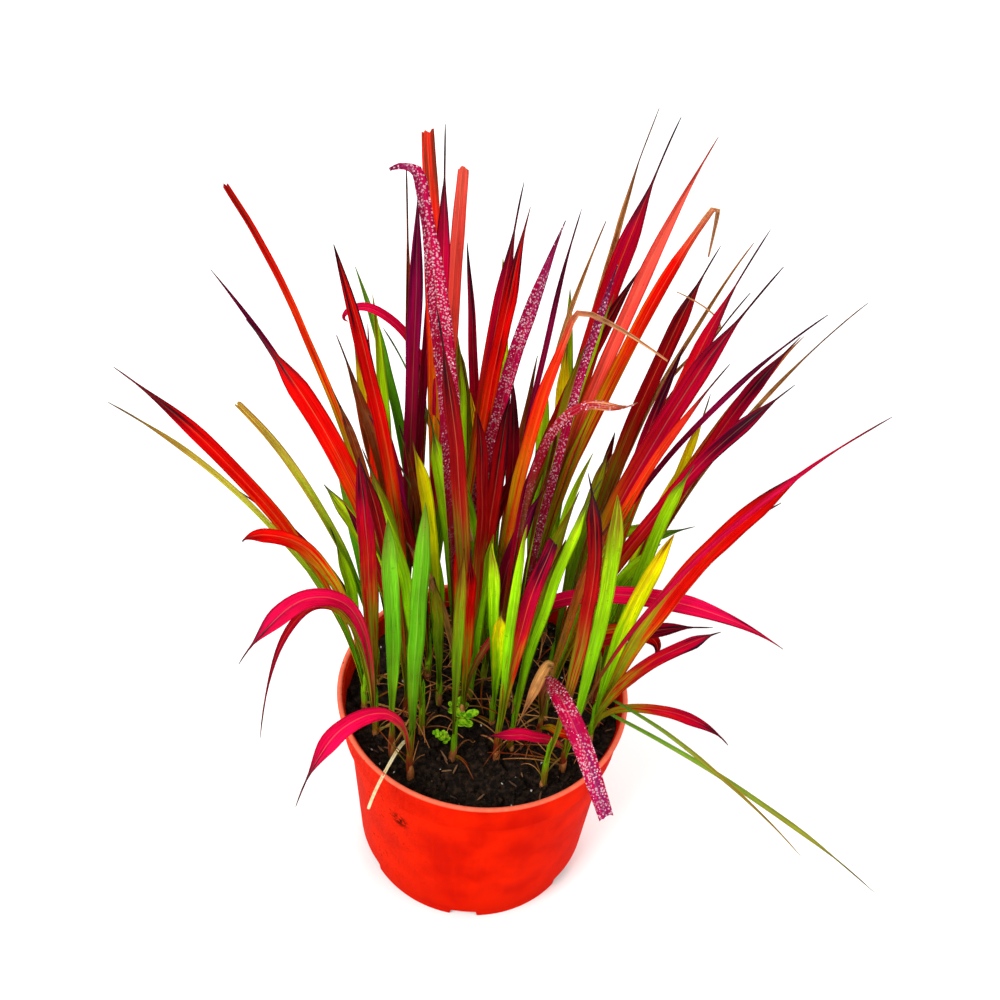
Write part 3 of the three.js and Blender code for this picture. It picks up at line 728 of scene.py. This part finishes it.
class Leaf:
    """One leaf's form. Lengths are in millimetres, as in the rows."""

    def __init__(self, tip, width, tone, over=None, tail=None, blunt=False):
        self.tip, self.width, self.tone = Vector(tip), width, tone
        self.over, self.tail, self.blunt = over, tail, blunt
        self.turn = self.twist = self.lean = self.bow = 0.0
        self.thread = 0.0

    def start_from(self, foot):
        """Works out the leaf's course from where it starts."""
        self.foot = foot
        self.low, self.high = guides(foot, self.tip, self.over)
        drooping = self.tip.z < max(self.low[1], self.high[1]) - LEAF_DROOP
        self.full = DROOP_FULL_AT if drooping else FULL_AT

    def grow(self, at, number):
        """Fills in where the leaf starts in its sheath and how it faces."""
        outward = math.atan2(self.tip.y - at[1], self.tip.x - at[0])
        x, y = at[0] + LEAF_SEAT * math.cos(outward), at[1] + LEAF_SEAT * math.sin(outward)
        self.start_from(Vector((x, y, GROUND + LEAF_START - LEAF_STAGGER * (number % 3))))
        length = (math.hypot(self.low[0] - x, self.low[1] - self.foot.z)
                  + math.hypot(self.high[0] - self.low[0], self.high[1] - self.low[1])
                  + math.hypot(self.tip.x - self.high[0], self.tip.z - self.high[1]))
        self.widest = draw(0.6, 0.8)
        self.turn = draw(-0.5, 0.5)
        self.twist = draw(-0.5, 0.5)
        self.steps = max(FEWEST_STEPS, math.floor(length / STATION_SPACING + 0.5))

    def point(self, t):
        """The middle line: a cubic up to 1, then the folded tail up to 1.2."""
        if t > 1:
            s = (t - 1) / TAIL_REACH
            folded = self.point(1).lerp(Vector(self.tail) + LIGHT * self.lean, s)
            return folded + Vector((0, 0, TAIL_RISE * s * (1 - s)))
        a, b, c = t - 1 / 3, t - 2 / 3, t - 1
        w = (-4.5 * a * b * c, 13.5 * t * b * c, -13.5 * t * a * c, 4.5 * t * a * b)
        across = (self.foot.x, self.low[0], self.high[0], self.tip.x)
        up = (self.foot.z, self.low[1], self.high[1], self.tip.z)
        x = sum(share * value for share, value in zip(w, across)) + 4 * self.bow * t * (1 - t)
        z = sum(share * value for share, value in zip(w, up))
        y = self.foot.y + (self.tip.y - self.foot.y) * t ** 1.2
        return Vector((x, y, z)) + LIGHT * (self.lean * (2 * t - t * t))

    def share(self, t, end):
        """Share of the full width at t, which falls to this share at the end."""
        rise = 0.3 + 0.7 * min(1, t / self.full)
        fall = max(0, (min(t, 1) - self.widest) / (1 - self.widest)) ** 1.6
        if self.thread:
            past = held((t - self.widest - 0.04) / (self.thread - self.widest))
            fall = 0.94 * past * past * (3 - 2 * past) + 0.06 * t
        share = rise * (1 - (1 - end) * fall)
        if not self.tail or t < 0.9:
            return share
        if t <= 1:
            return max(share, TAIL_SHARE)
        return TAIL_SHARE + (TAIL_END - TAIL_SHARE) * (t - 1) / TAIL_REACH

    def edges_at_end(self):
        """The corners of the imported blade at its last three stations."""
        places = [i / self.steps for i in range(self.steps + 1)]
        places += PACKED_TAIL if self.tail else ()
        line = [self.point(t) for t in places[-4:]]
        found = []
        for i in (1, 2, 3):
            t = places[i - 4]
            along = (line[min(i + 1, 3)] - line[i - 1]).normalized()
            across = LIGHT.cross(along).normalized()
            across.rotate(Quaternion(along, self.turn + self.twist * t))
            face = along.cross(across)
            share = self.share(t, 0.75 if self.blunt else 0.1)
            if self.tail and t >= 1:
                share = PACKED_TAIL.get(t, max(share, TAIL_SHARE))
            half = max(self.width * share, 0.8) / 2
            for side, front in ((1, 1), (-1, 1), (-1, -1), (1, -1)):
                found.append(line[i] + across * side * half + face * front * BLADE_THICKNESS / 2)
        return found

    def sway_as_packed(self, corners):
        """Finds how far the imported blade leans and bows. False if it isn't there."""
        ways = [(step * LEAN_STEP, bow) for step in range(-LEAN_TRIES, LEAN_TRIES + 1)
                for bow in BOWS]
        ways.sort(key=lambda way: abs(way[0]) + BOW_WEIGHT * abs(way[1]))
        best = (FEWEST_FOUND, None)
        for way in ways:
            self.lean, self.bow = way
            hits = sum(corners.find(place * MM)[2] < FOUND_WITHIN * MM
                       for place in self.edges_at_end())
            if hits > best[0]:
                best = (hits, way)
            if hits == ALL_CORNERS:
                break
        if best[1]:
            self.lean, self.bow = best[1]
        return best[1] is not None


def layered_leaves():
    """The grown leaves of all layers, each with its root. Tips stray a little from the layer."""
    found = []
    for depth, rows in LAYERS:
        for x, z, width, tone, *form in rows:
            form = dict(form[0]) if form else {}
            back = draw(-DEPTH_SPREAD, DEPTH_SPREAD)
            tip = (x, depth + back * LIGHT.y, z + back * LIGHT.z)
            if "tail" in form:
                form["tail"] = (form["tail"][0], tip[1], form["tail"][1] + back * LIGHT.z)
            root = form.pop("root", (x * ROOT_SHARE[0], depth * ROOT_SHARE[1]))
            found.append((Leaf(tip, width, tone, **form), root))
    return found


def ring_shoots():
    """The rings' shoots. Each leaf goes to the shoot nearest its root that isn't full yet."""
    plans = []
    for radius, count, first, last in RINGS:
        for i in range(count):
            angle = math.radians(between(first, last, i / (count - 1)))
            at = [radius * f(angle) + draw(-STRAY, STRAY) for f in (math.cos, math.sin)]
            plans.append((at, []))
    for leaf, root in layered_leaves():
        rooms = [plan for plan in plans if len(plan[1]) < LEAVES_EACH]
        min(rooms, key=lambda plan: math.dist(plan[0], root))[1].append(leaf)
    return plans


def fill_leaf(at):
    """A leaf of the thick middle of the tuft, fanned out from where its shoot stands."""
    reach, spread, wander = draw(130, 250), draw(0.2, 0.75), draw(-22, 22)
    depth = 1 + (1.8 if at[1] > 0 else 0.6) * spread
    aside = min(max(at[0] * (1 + spread) + wander, -88), 100)
    tip = (aside, at[1] * depth + draw(-22, 26), GROUND + reach)
    tones = ("lime", "brown", "olive", "crimson", "dark", "green", "yellow", "olive", "lime")
    tone = tones[math.floor(draw(0, len(tones)))]
    return Leaf(tip, draw(4.5, 8.5), tone)


def plan_shoots():
    """Each shoot's place, sheath height and grown and fill leaves: the rings' shoots first."""
    rings = ring_shoots()
    plans = [(at, leaves, [fill_leaf(at)]) for at, leaves in rings]
    while len(plans) < len(rings) + FILL_SHOOTS:
        angle = draw(0, 2 * math.pi)
        radius = TUFT_RADIUS * math.sqrt(draw(0, 1))
        at = [radius * math.cos(angle), radius * math.sin(angle)]
        near = min(math.dist(at, other[0]) for other in plans)
        if near >= SHOOT_SPACING and at[1] >= FILL_FRONT:
            plans.append((at, [], [fill_leaf(at) for _ in range(FILL_LEAVES)]))
    planned = []
    for at, leaves, fill in plans:
        sheath = draw(34, 48)
        for number, leaf in enumerate(leaves + fill):
            leaf.grow(at, number)
        planned.append((at, sheath, leaves, fill))
    return planned


def vivid(colour):
    """A purer colour: the lesser channels fall further behind the greatest."""
    most = max(colour[:3])
    return [c * (c / most) ** 0.4 for c in colour[:3]] + [1.0]


def shade_at(stops, t):
    """The colour between a tone's stops."""
    for (start, first), (end, second) in zip(stops, stops[1:]):
        if t <= end:
            share = max(0, (t - start) / (end - start))
            return [a + (b - a) * share for a, b in zip(first, second)]
    return list(stops[-1][1])


def make_strip(name, across, along):
    """A flat strip with a UV map, which blades and sheaths are copied from."""
    bpy.ops.mesh.primitive_grid_add(x_subdivisions=across, y_subdivisions=along, size=1)
    strip = bpy.context.object
    strip.name = name
    strip.data.uv_layers[0].name = "blade"
    for kind, attribute in (("FLOAT_COLOR", "tint_a"), ("FLOAT_COLOR", "tint_b"),
                            ("FLOAT_VECTOR", "habit")):
        strip.data.attributes.new(attribute, kind, "POINT")
    return strip


def fold_across(side, curl):
    """Where a point across a blade of half width 1 lies: an arc, or a keel if the curl is small."""
    keel = min(1, max(0.25, curl - 0.6))
    reach = lift = 0.0
    for i in range(6):
        slope = curl * (abs(side) * (i + 0.5) / 6) ** keel
        reach += side * math.cos(slope) / 6
        lift += abs(side) * math.sin(slope) / 6
    return reach, lift


class Look:
    """How a strip is coloured: its tone, and how it fades from a share of its length on."""

    def __init__(self, tone, sprig, fades_at=2.0, end=DARK_END, dew=0.0):
        self.stops = TONE_STOPS[tone]
        self.fades_at, self.end, self.dew = fades_at, tint(end), dew
        self.dry = {"straw": 0.15}.get(tone, 1.0) if tone in DRY_TONES else 0.0
        self.dries = end == DRY_END
        self.slip, self.glow = sprig.uniform(-0.06, 0.06), sprig.uniform(1.0, 1.5)
        self.ahead = sprig.uniform(-0.14, 0.14)
        self.mark = sprig.random()

    def shade(self, t, side, shift):
        """The colour at t: the edges, or the middle, turn before the rest."""
        turned = held(t + self.slip + shift + self.ahead * (abs(side) - 0.5))
        faded = held((t + shift * 0.3 - self.fades_at) / 0.09) * 0.85
        shade = shade_at(self.stops, turned)
        return [(a + (b - a) * faded) * self.glow for a, b in zip(shade[:3], self.end)] + [1.0]

    def habit(self, t):
        """The share of dew, how dry it is, and a mark that tells this strip from others."""
        dried = held((t - self.fades_at) / 0.1) * self.dries
        return [self.dew * held((t - 0.15) / 0.5), max(self.dry, dried), self.mark]


def lay_strip(strip, line, widths, curls, turns, look):
    """Copies the strip along a line in millimetres, curled across into an arc."""
    laid = strip.copy()
    laid.data = strip.data.copy()
    bpy.context.scene.collection.objects.link(laid)
    count = len(line)
    rows = []
    before = None
    for i in range(count):
        along = (line[min(i + 1, count - 1)] - line[max(i - 1, 0)]).normalized()
        across = LIGHT.cross(along).normalized()
        across.rotate(Quaternion(along, turns[i]))
        if before and across.dot(before) < 0:
            across.negate()
        before = across
        rows.append((line[i], across, along.cross(across)))
    first, second, habits = [], [], []
    for vertex in laid.data.vertices:
        i = round((vertex.co.y + 0.5) * (count - 1))
        t = i / (count - 1)
        side = 2 * vertex.co.x
        middle, across, face = rows[i]
        half = widths[i] / 2
        reach, lift = fold_across(side, curls[i])
        place = middle + across * half * reach - face * half * lift
        ripple = noise.noise(place * 0.045 + Vector((0, 0, 9 * look.mark)))
        place += face * ripple * half * (0.1 + 0.22 * abs(side))
        place.z = min(place.z, HIGHEST)
        vertex.co = place * MM
        first += look.shade(t, side, -0.12)
        second += look.shade(t, side, 0.1)
        habits += look.habit(t)
    laid.data.attributes["tint_a"].data.foreach_set("color", first)
    laid.data.attributes["tint_b"].data.foreach_set("color", second)
    laid.data.attributes["habit"].data.foreach_set("vector", habits)
    return laid


def lay_blade(leaf, grown, sprig):
    """A blade: rolled up in the sheath, then open with a shallow channel, wavy when dry."""
    reach = 1 + TAIL_REACH if leaf.tail else 1.0
    places = [reach * i / BLADE_ROWS for i in range(BLADE_ROWS + 1)]
    line = []
    for t in places:
        drift = noise.noise_vector(Vector((t * 4.5, leaf.foot.x * 1.7, leaf.foot.z + leaf.tip.x)))
        line.append(leaf.point(t) + drift * 4 * KINK * t * max(0, 1 - t))
    for i in range(1, BLADE_ROWS):
        if leaf.tail and abs(places[i] - 1) < 0.07:
            line[i] = (line[i - 1] + line[i] * 2 + line[i + 1]) / 4
    dry = leaf.tone in DRY_TONES
    fullest = 1.2 if dry else sprig.uniform(0.2, 0.8)
    if not leaf.blunt and not leaf.tail and sprig.random() < (0.85 if grown else 0.4):
        drawn = max(sprig.uniform(0.84, 0.97), leaf.widest + 0.13)
        leaf.thread = 0.99 if leaf.tone == "dew" else drawn
    widths, curls, turns = [], [], []
    for t in places:
        least = THREAD_WIDTH * (1 - 0.8 * held((t / reach - 0.96) / 0.04))
        end = TORN_END if leaf.blunt else SHARP_END
        widths.append(max(leaf.width * leaf.share(t, end) * FULLNESS, least))
        rolled = max(0, 1 - t / ROLLED_TO) ** 1.5
        curled = 1.2 * held((t - 0.85) / 0.15) if leaf.tail and leaf.tone != "dew" else 0.0
        curls.append(fullest + (ROLLED_CURL - fullest) * rolled + curled)
        wander = noise.noise(Vector((t * 3, leaf.foot.x, leaf.foot.y)))
        turns.append(leaf.turn + leaf.twist * t + wander * (0.9 if dry else 0.3))
    look = Look(leaf.tone, sprig, dew=float(leaf.tone in ("dew", "damp")))
    if leaf.tail and leaf.tone != "dew":
        look = Look(leaf.tone, sprig, 0.74, DRY_END)
    elif leaf.thread:
        look.fades_at = leaf.thread - 0.06
    laid = lay_strip(blade_strip, line, widths, curls, turns, look)
    if leaf.blunt:
        for vertex in laid.data.vertices:
            pulled = vertex.index % (BLADE_COLUMNS + 1)
            if vertex.index >= BLADE_ROWS * (BLADE_COLUMNS + 1):
                torn = noise.noise(Vector((pulled * 1.7, leaf.foot.x, 3.1)))
                vertex.co -= (line[-1] - line[-3]).normalized() * MM * (2.5 + 3 * torn)
    return laid


def lay_sheath(at, top, girth, tone, sprig):
    """A sheath: a leaf's foot rolled round the stem, slim at the soil and cut aslant above."""
    bottom = GROUND - 5
    lean = Vector((sprig.uniform(-0.4, 0.4), sprig.uniform(-0.4, 0.4), 0))
    wrap = 1.14 * math.pi
    line, radii = [], []
    for i in range(SHEATH_ROWS + 1):
        s = i / SHEATH_ROWS
        radii.append(girth * (0.8 + 0.3 * math.sin(math.pi * min(1, 1.3 * s)) - 0.3 * s))
        line.append(Vector((at[0], at[1] + radii[-1], bottom + (top - bottom) * s)) + lean * s)
    widths = [2 * wrap * radius for radius in radii]
    spin = sprig.uniform(-3.1, 3.1)
    laid = lay_strip(sheath_strip, line, widths, [wrap] * len(line), [0.0] * len(line),
                     Look(tone, sprig))
    about = Vector((at[0], at[1], 0)) * MM
    turn = Matrix.Translation(about) @ Matrix.Rotation(spin, 4, "Z") @ Matrix.Translation(-about)
    laid.data.transform(turn)
    for vertex in laid.data.vertices:
        share = (vertex.index // (SHEATH_COLUMNS + 1)) / SHEATH_ROWS
        side = vertex.index % (SHEATH_COLUMNS + 1) / SHEATH_COLUMNS
        away = vertex.co - Vector((at[0] * MM, at[1] * MM, vertex.co.z))
        vertex.co += away * 0.1 * side
        vertex.co.z -= 0.5 * (top - bottom) * MM * share ** 3 * abs(side - 0.5)
    return laid


def lay_wisp(at, sprig):
    """A withered strand at the foot of a shoot: it stands up or leans out, then droops."""
    way = sprig.uniform(0, 6.28)
    out = Vector((math.cos(way), math.sin(way), 0))
    length, rise = sprig.uniform(10, 46), sprig.uniform(0.1, 1.25)
    if (Vector((at[0], at[1], 0)) + out * length).length > TUFT_RADIUS:
        out.negate()
    start = Vector((at[0], at[1], GROUND + sprig.uniform(-1, 12))) + out * 1.2
    droop = sprig.uniform(0.4, 1.3) * length * math.sin(rise)
    swing = out.cross(Vector((0, 0, 1))) * sprig.uniform(-9, 9)
    line = []
    for i in range(WISP_ROWS + 1):
        t = i / WISP_ROWS
        place = start + out * length * math.cos(rise) * t + swing * t * t
        place.z = max(place.z + length * math.sin(rise) * t - droop * t * t, GROUND + 0.6)
        line.append(place)
    widest = sprig.uniform(0.5, 1.7)
    widths = [widest * (1 - 0.7 * i / WISP_ROWS) for i in range(WISP_ROWS + 1)]
    turns = [sprig.uniform(-1, 1)] * len(line)
    look = Look(sprig.choice(("husk", "tan", "tan", "brown")), sprig)
    return lay_strip(wisp_strip, line, widths, [1.2] * len(line), turns, look)


def thicken(piece):
    """Gives a piece made of strips the thickness of a leaf."""
    add_modifier(piece, "SOLIDIFY", thickness=LEAF_SKIN, offset=0)
    smooth(piece, LEAF_CREASE)


def leaf_finish():
    """A living blade: streaked from colour to colour, one half of it in painted shade, ribbed along,
    with dark edges, flecks and cell-like dew on some, the dew with a painted pale shine, and matt and
    papery where it is dry."""
    made, start, place = new_finish("grass_blade")
    first = start.node("Attribute", {"attribute_name": "tint_a"})
    second = start.node("Attribute", {"attribute_name": "tint_b"})
    habit = start.node("Attribute", {"attribute_name": "habit"}, {}, 1)
    dew, dry, mark = habit.axis(0), habit.axis(1), habit.axis(2)
    across = start.node("UVMap", {"uv_map": "blade"})
    side, along = across.axis(0), across.axis(1)

    def streaks(fineness, length):
        lanes = start.node("CombineXYZ", {}, {0: side * fineness + mark * 40.0,
                                              1: along * length, 2: mark * 17.0})
        return start.grain(lanes, 1.0, 2.0)

    broad, fine = streaks(6.0, 4.0), streaks(30.0, 9.0)
    ribs = start.maths("SINE", side * 88.0)
    colour = broad.between(0.4, 0.6).blend(first, second)
    flip = mark.between(0.49, 0.51)
    shaded = start.maths("ABSOLUTE", side.between(0.42, 0.56) - flip)
    colour = (shaded * 0.26).blend(colour, tint("#9a7a72"), "MULTIPLY")
    cloud = start.grain(place, 40.0, 3.0)
    colour = (cloud.between(0.4, 0.7) * 0.24).blend(colour, tint("#8a7474"), "MULTIPLY")
    colour = (fine.between(0.5, 0.68) * 0.3).blend(colour, tint("#7a4040"), "MULTIPLY")
    lit = streaks(14.0, 6.0).between(0.5, 0.7)
    colour = (lit * 0.7).blend(colour, (1.7, 1.5, 1.3, 1.0), "MULTIPLY")
    middle = start.maths("ABSOLUTE", side - 0.48)
    colour = (middle.between(0.035, 0.01) * 0.08).blend(colour, tint("#ffd890"))
    colour = (middle.between(0.38, 0.5) * 0.45).blend(colour, tint("#7a2014"), "MULTIPLY")
    flecks = start.grain(place, 420.0, 2.0).between(0.66, 0.72) * broad
    colour = (flecks * 0.5).blend(colour, tint("#5a1408"))
    patches = start.grain(place, 150.0, 4.0).between(0.45, 0.7) * dry
    colour = (patches * 0.6).blend(colour, tint("#8a5632"))
    # Dew: cell-like beads, glossier and raised, with a painted shine of pale pinkish white for the
    # light on the drops.
    beads = start.node("TexVoronoi", {}, {"Vector": place, "Scale": 760.0})
    dew_and_painted_shine = beads.between(0.5, 0.25) * dew * start.grain(place, 60.0).between(0.35, 0.55)
    colour = (dew_and_painted_shine * 0.62).blend(colour, tint("#f6c6d6"))
    start.coat_with({
        "Base Color": colour,
        "Roughness": 0.46 + 0.3 * dry + 0.08 * cloud - 0.25 * dew_and_painted_shine,
        "IOR": 1.08,
        "Coat Weight": 0.4 * dew_and_painted_shine,
        "Normal": start.relief(ribs + 3.0 * fine + 4.0 * dry * patches + 5.0 * dew_and_painted_shine, 0.00009),
    })
    return made


TOP_MARGIN = 0.2
HIGHEST = cad_box[1][2] / MM - TOP_MARGIN
TONE_STOPS = {}
for name, stops in TONES.items():
    pairs = [stop.split() for stop in stops.split(", ")]
    TONE_STOPS[name] = [(int(share) / 100, vivid(tint("#" + code))) for share, code in pairs]
BLADE_COLUMNS, BLADE_ROWS = 6, 34
SHEATH_COLUMNS, SHEATH_ROWS = 14, 8
WISP_COLUMNS, WISP_ROWS = 2, 14
WISPS = 4
LEAF_SKIN = 0.38 * MM
LEAF_CREASE = 50
TORN_END, SHARP_END, FULLNESS = 0.7, 0.02, 1.06
ROLLED_TO, ROLLED_CURL = 0.27, 2.7
THREAD_WIDTH = 0.85
KINK = 1.3
blade_strip = make_strip("blade_strip", BLADE_COLUMNS, BLADE_ROWS)
sheath_strip = make_strip("sheath_strip", SHEATH_COLUMNS, SHEATH_ROWS)
wisp_strip = make_strip("wisp_strip", WISP_COLUMNS, WISP_ROWS)
leaf_material = leaf_finish()
dewy = []
missing = []
for index, (at, sheath, leaves, fill) in enumerate(plan_shoots()):
    node = "shoot_%02d" % (index + 1)
    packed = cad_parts[node].data.vertices
    corners = kdtree.KDTree(len(packed))
    for vertex in packed:
        corners.insert(vertex.co, vertex.index)
    corners.balance()
    sprig = random.Random(index)
    wrap = sprig.choice(("sheath", "sheath", "red_sheath"))
    parts = [lay_sheath(at, GROUND + sheath, 1.6, wrap, sprig),
             lay_sheath(at, GROUND + sprig.uniform(4, 22), 1.8, "husk", sprig)]
    for leaf in leaves + fill:
        if not leaf.sway_as_packed(corners):
            missing.append(node)
            continue
        blade = lay_blade(leaf, leaf in leaves, sprig)
        parts.append(blade)
        if leaf.tone in ("dew", "damp"):
            beaded = list(blade.data.polygons)[BLADE_COLUMNS * BLADE_ROWS // 3:]
            dewy.append([([blade.data.vertices[i].co.copy() for i in face.vertices],
                          face.normal.copy(), face.area) for face in beaded])
    parts += [lay_wisp(at, sprig) for _ in range(WISPS)]
    shoot = join(parts, "grass_" + node)
    thicken(shoot)
    settle(shoot, leaf_material, "grass_leaf", node)
print("leaves not found:", missing)


# ---- Dew --------------------------------------------------------------------------------------
# Drops of water stand on the upper side of the dewy blades: small flattened beads, painted a
# pale pinkish white for the light that they reflect.

AREA_PER_DROP = 11 * MM * MM
SMALLEST_DROP, DROP_RANGE, DROP_FLATNESS = 0.16, 0.32, 0.6


def dew_finish():
    made, start, place = new_finish("dew")
    shade = start.grain(place, 300.0)
    start.coat_with({
        # The beads' pale pinkish white is a painted reflection of the light: water has no colour of its
        # own.
        "Base Color": shade.blend(tint("#c87090"), tint("#f6dde6")),
        "Roughness": 0.05 + 0.1 * shade,
        "IOR": 1.33,
        "Coat Weight": 0.3 + 0.4 * shade,
    })
    return made


bpy.ops.mesh.primitive_uv_sphere_add(segments=8, ring_count=5, radius=1)
bead = bpy.context.object
drops = []
for faces in dewy:
    areas = [area for _, _, area in faces]
    for _ in range(round(sum(areas) / AREA_PER_DROP)):
        corners, normal, _ = scatter.choices(faces, areas)[0]
        if normal.dot(LIGHT) > 0:
            normal = -normal
        across, along = scatter.random(), scatter.random()
        place = corners[0].lerp(corners[1], across).lerp(corners[3].lerp(corners[2], across), along)
        size = (SMALLEST_DROP + DROP_RANGE * scatter.random() ** 2) * MM
        place += normal * (LEAF_SKIN / 2 + 0.1 * size)
        facing = normal.to_track_quat("Z", "Y").to_matrix().to_4x4()
        drops.append(lay_copy(bead, place, (size, size, size * DROP_FLATNESS), facing))
bpy.data.objects.remove(bead)
dew_piece = join(drops, "dew_drops")
bpy.ops.object.shade_smooth()
settle(dew_piece, dew_finish(), "grass_leaf")


# ---- Straw ------------------------------------------------------------------------------------
# One dry, split stalk of last year's grass, cream and fibrous, lies from the soil over the front
# left of the rim.

STRAW_WIDTH = 2.8
STRAW_FOOT = Vector((-42, -32, 122.3))
STRAW_CREST = (-46, 131.5), (-51, 138.2)
STRAW_END = (-55, -94, 144)


def straw_finish():
    made, start, place = new_finish("straw_cream")
    fibres = start.grain(place, 260.0, 3.0)
    start.coat_with({
        "Base Color": fibres.between(0.35, 0.65).blend(tint("#e8cf92"), tint("#fff3cf")),
        "Roughness": 0.6 + 0.1 * fibres,
        "IOR": 1.2,
        "Normal": start.relief(fibres, 0.0002),
    })
    return made


stalk = Leaf(STRAW_END, STRAW_WIDTH, "straw")
stalk.start_from(STRAW_FOOT)
stalk.low, stalk.high = STRAW_CREST
stalk_places = [i / BLADE_ROWS for i in range(BLADE_ROWS + 1)]
stalk_line = [stalk.point(t) + Vector((0, 0, 0.25 * math.sin(9 * t))) for t in stalk_places]
stalk_widths = [STRAW_WIDTH * (1 - 0.25 * t) for t in stalk_places]
straw = lay_strip(blade_strip, stalk_line, stalk_widths, [1.6] * len(stalk_line),
                  [0.3] * len(stalk_line), Look("straw", random.Random(3)))
straw.name = "dry_straw"
thicken(straw)
settle(straw, straw_finish(), "dry_straw", "straw")
for strip in (blade_strip, sheath_strip, wisp_strip):
    bpy.data.objects.remove(strip)


# ---- Seedlings --------------------------------------------------------------------------------
# Weed seedlings in front: each has a few round, dished, light green leaves on thread-like stems.
# They stand in two small groups: where on the soil, how many, how tall and how wide.

SEEDLINGS = ((-12, -12, 2, 10, 3.6), (-22, -27, 3, 5, 2.2))
SEEDLING_SPREAD = 4
SEED_LEAVES = 5
SEED_CREASE = 40


def make_seed_leaf():
    bpy.ops.mesh.primitive_circle_add(vertices=14, radius=1, fill_type="NGON", location=(0, 0, 0))
    pad = bpy.context.object
    bpy.ops.object.mode_set(mode="EDIT")
    for depth in (-0.12, -0.1):
        bpy.ops.mesh.inset(thickness=0.36)
        bpy.ops.transform.translate(value=(0, 0, depth))
    bpy.ops.object.mode_set(mode="OBJECT")
    pad.data.transform(Matrix.Diagonal((1.15, 1, 1, 1)))
    add_modifier(pad, "SOLIDIFY", thickness=0.16, offset=-1)
    return pad


def seedling_finish():
    made, start, place = new_finish("seedling_green")
    veins = start.grain(place, 500.0)
    start.coat_with({
        "Base Color": veins.between(0.35, 0.65).blend(tint("#3f8c0c"), tint("#a4d81c")),
        "Roughness": 0.45 + 0.15 * veins,
        "IOR": 1.2,
        "Normal": start.relief(veins, 0.0003),
    })
    return made


def plant_seedlings():
    pad = make_seed_leaf()
    bpy.ops.mesh.primitive_cylinder_add(vertices=7, radius=0.25 * MM, depth=1)
    stem = bpy.context.object
    parts = []
    stands = [row for row in SEEDLINGS for _ in range(row[2])]
    for x, y, _, tall, wide in stands:
        x += SEEDLING_SPREAD * scatter.uniform(-1, 1)
        y += SEEDLING_SPREAD * scatter.uniform(-1, 1)
        foot = Vector((x * MM, y * MM, soil_height(x * MM, y * MM)))
        for i in range(SEED_LEAVES):
            way = 2 * math.pi * (i + scatter.uniform(-0.3, 0.3)) / SEED_LEAVES
            size = wide * scatter.uniform(0.5, 1.0) * MM
            out = Vector((math.cos(way), math.sin(way), 0)) * 1.1 * size
            top = foot + out + Vector((0, 0, tall * scatter.uniform(0.5, 1.1) * MM))
            tilt = Matrix.Rotation(scatter.uniform(-0.8, 0.2), 4, "Y")
            spin = Matrix.Rotation(way, 4, "Z") @ tilt
            parts.append(lay_copy(pad, top, (size, size * 0.8, size), spin))
            rise = top - foot
            lie = rise.to_track_quat("Z", "Y").to_matrix().to_4x4()
            parts.append(lay_copy(stem, (top + foot) / 2, (1, 1, rise.length), lie))
    bpy.data.objects.remove(pad)
    bpy.data.objects.remove(stem)
    return join(parts, "seedlings")


seedlings = plant_seedlings()
smooth(seedlings, SEED_CREASE)
settle(seedlings, seedling_finish(), "grass_leaf")
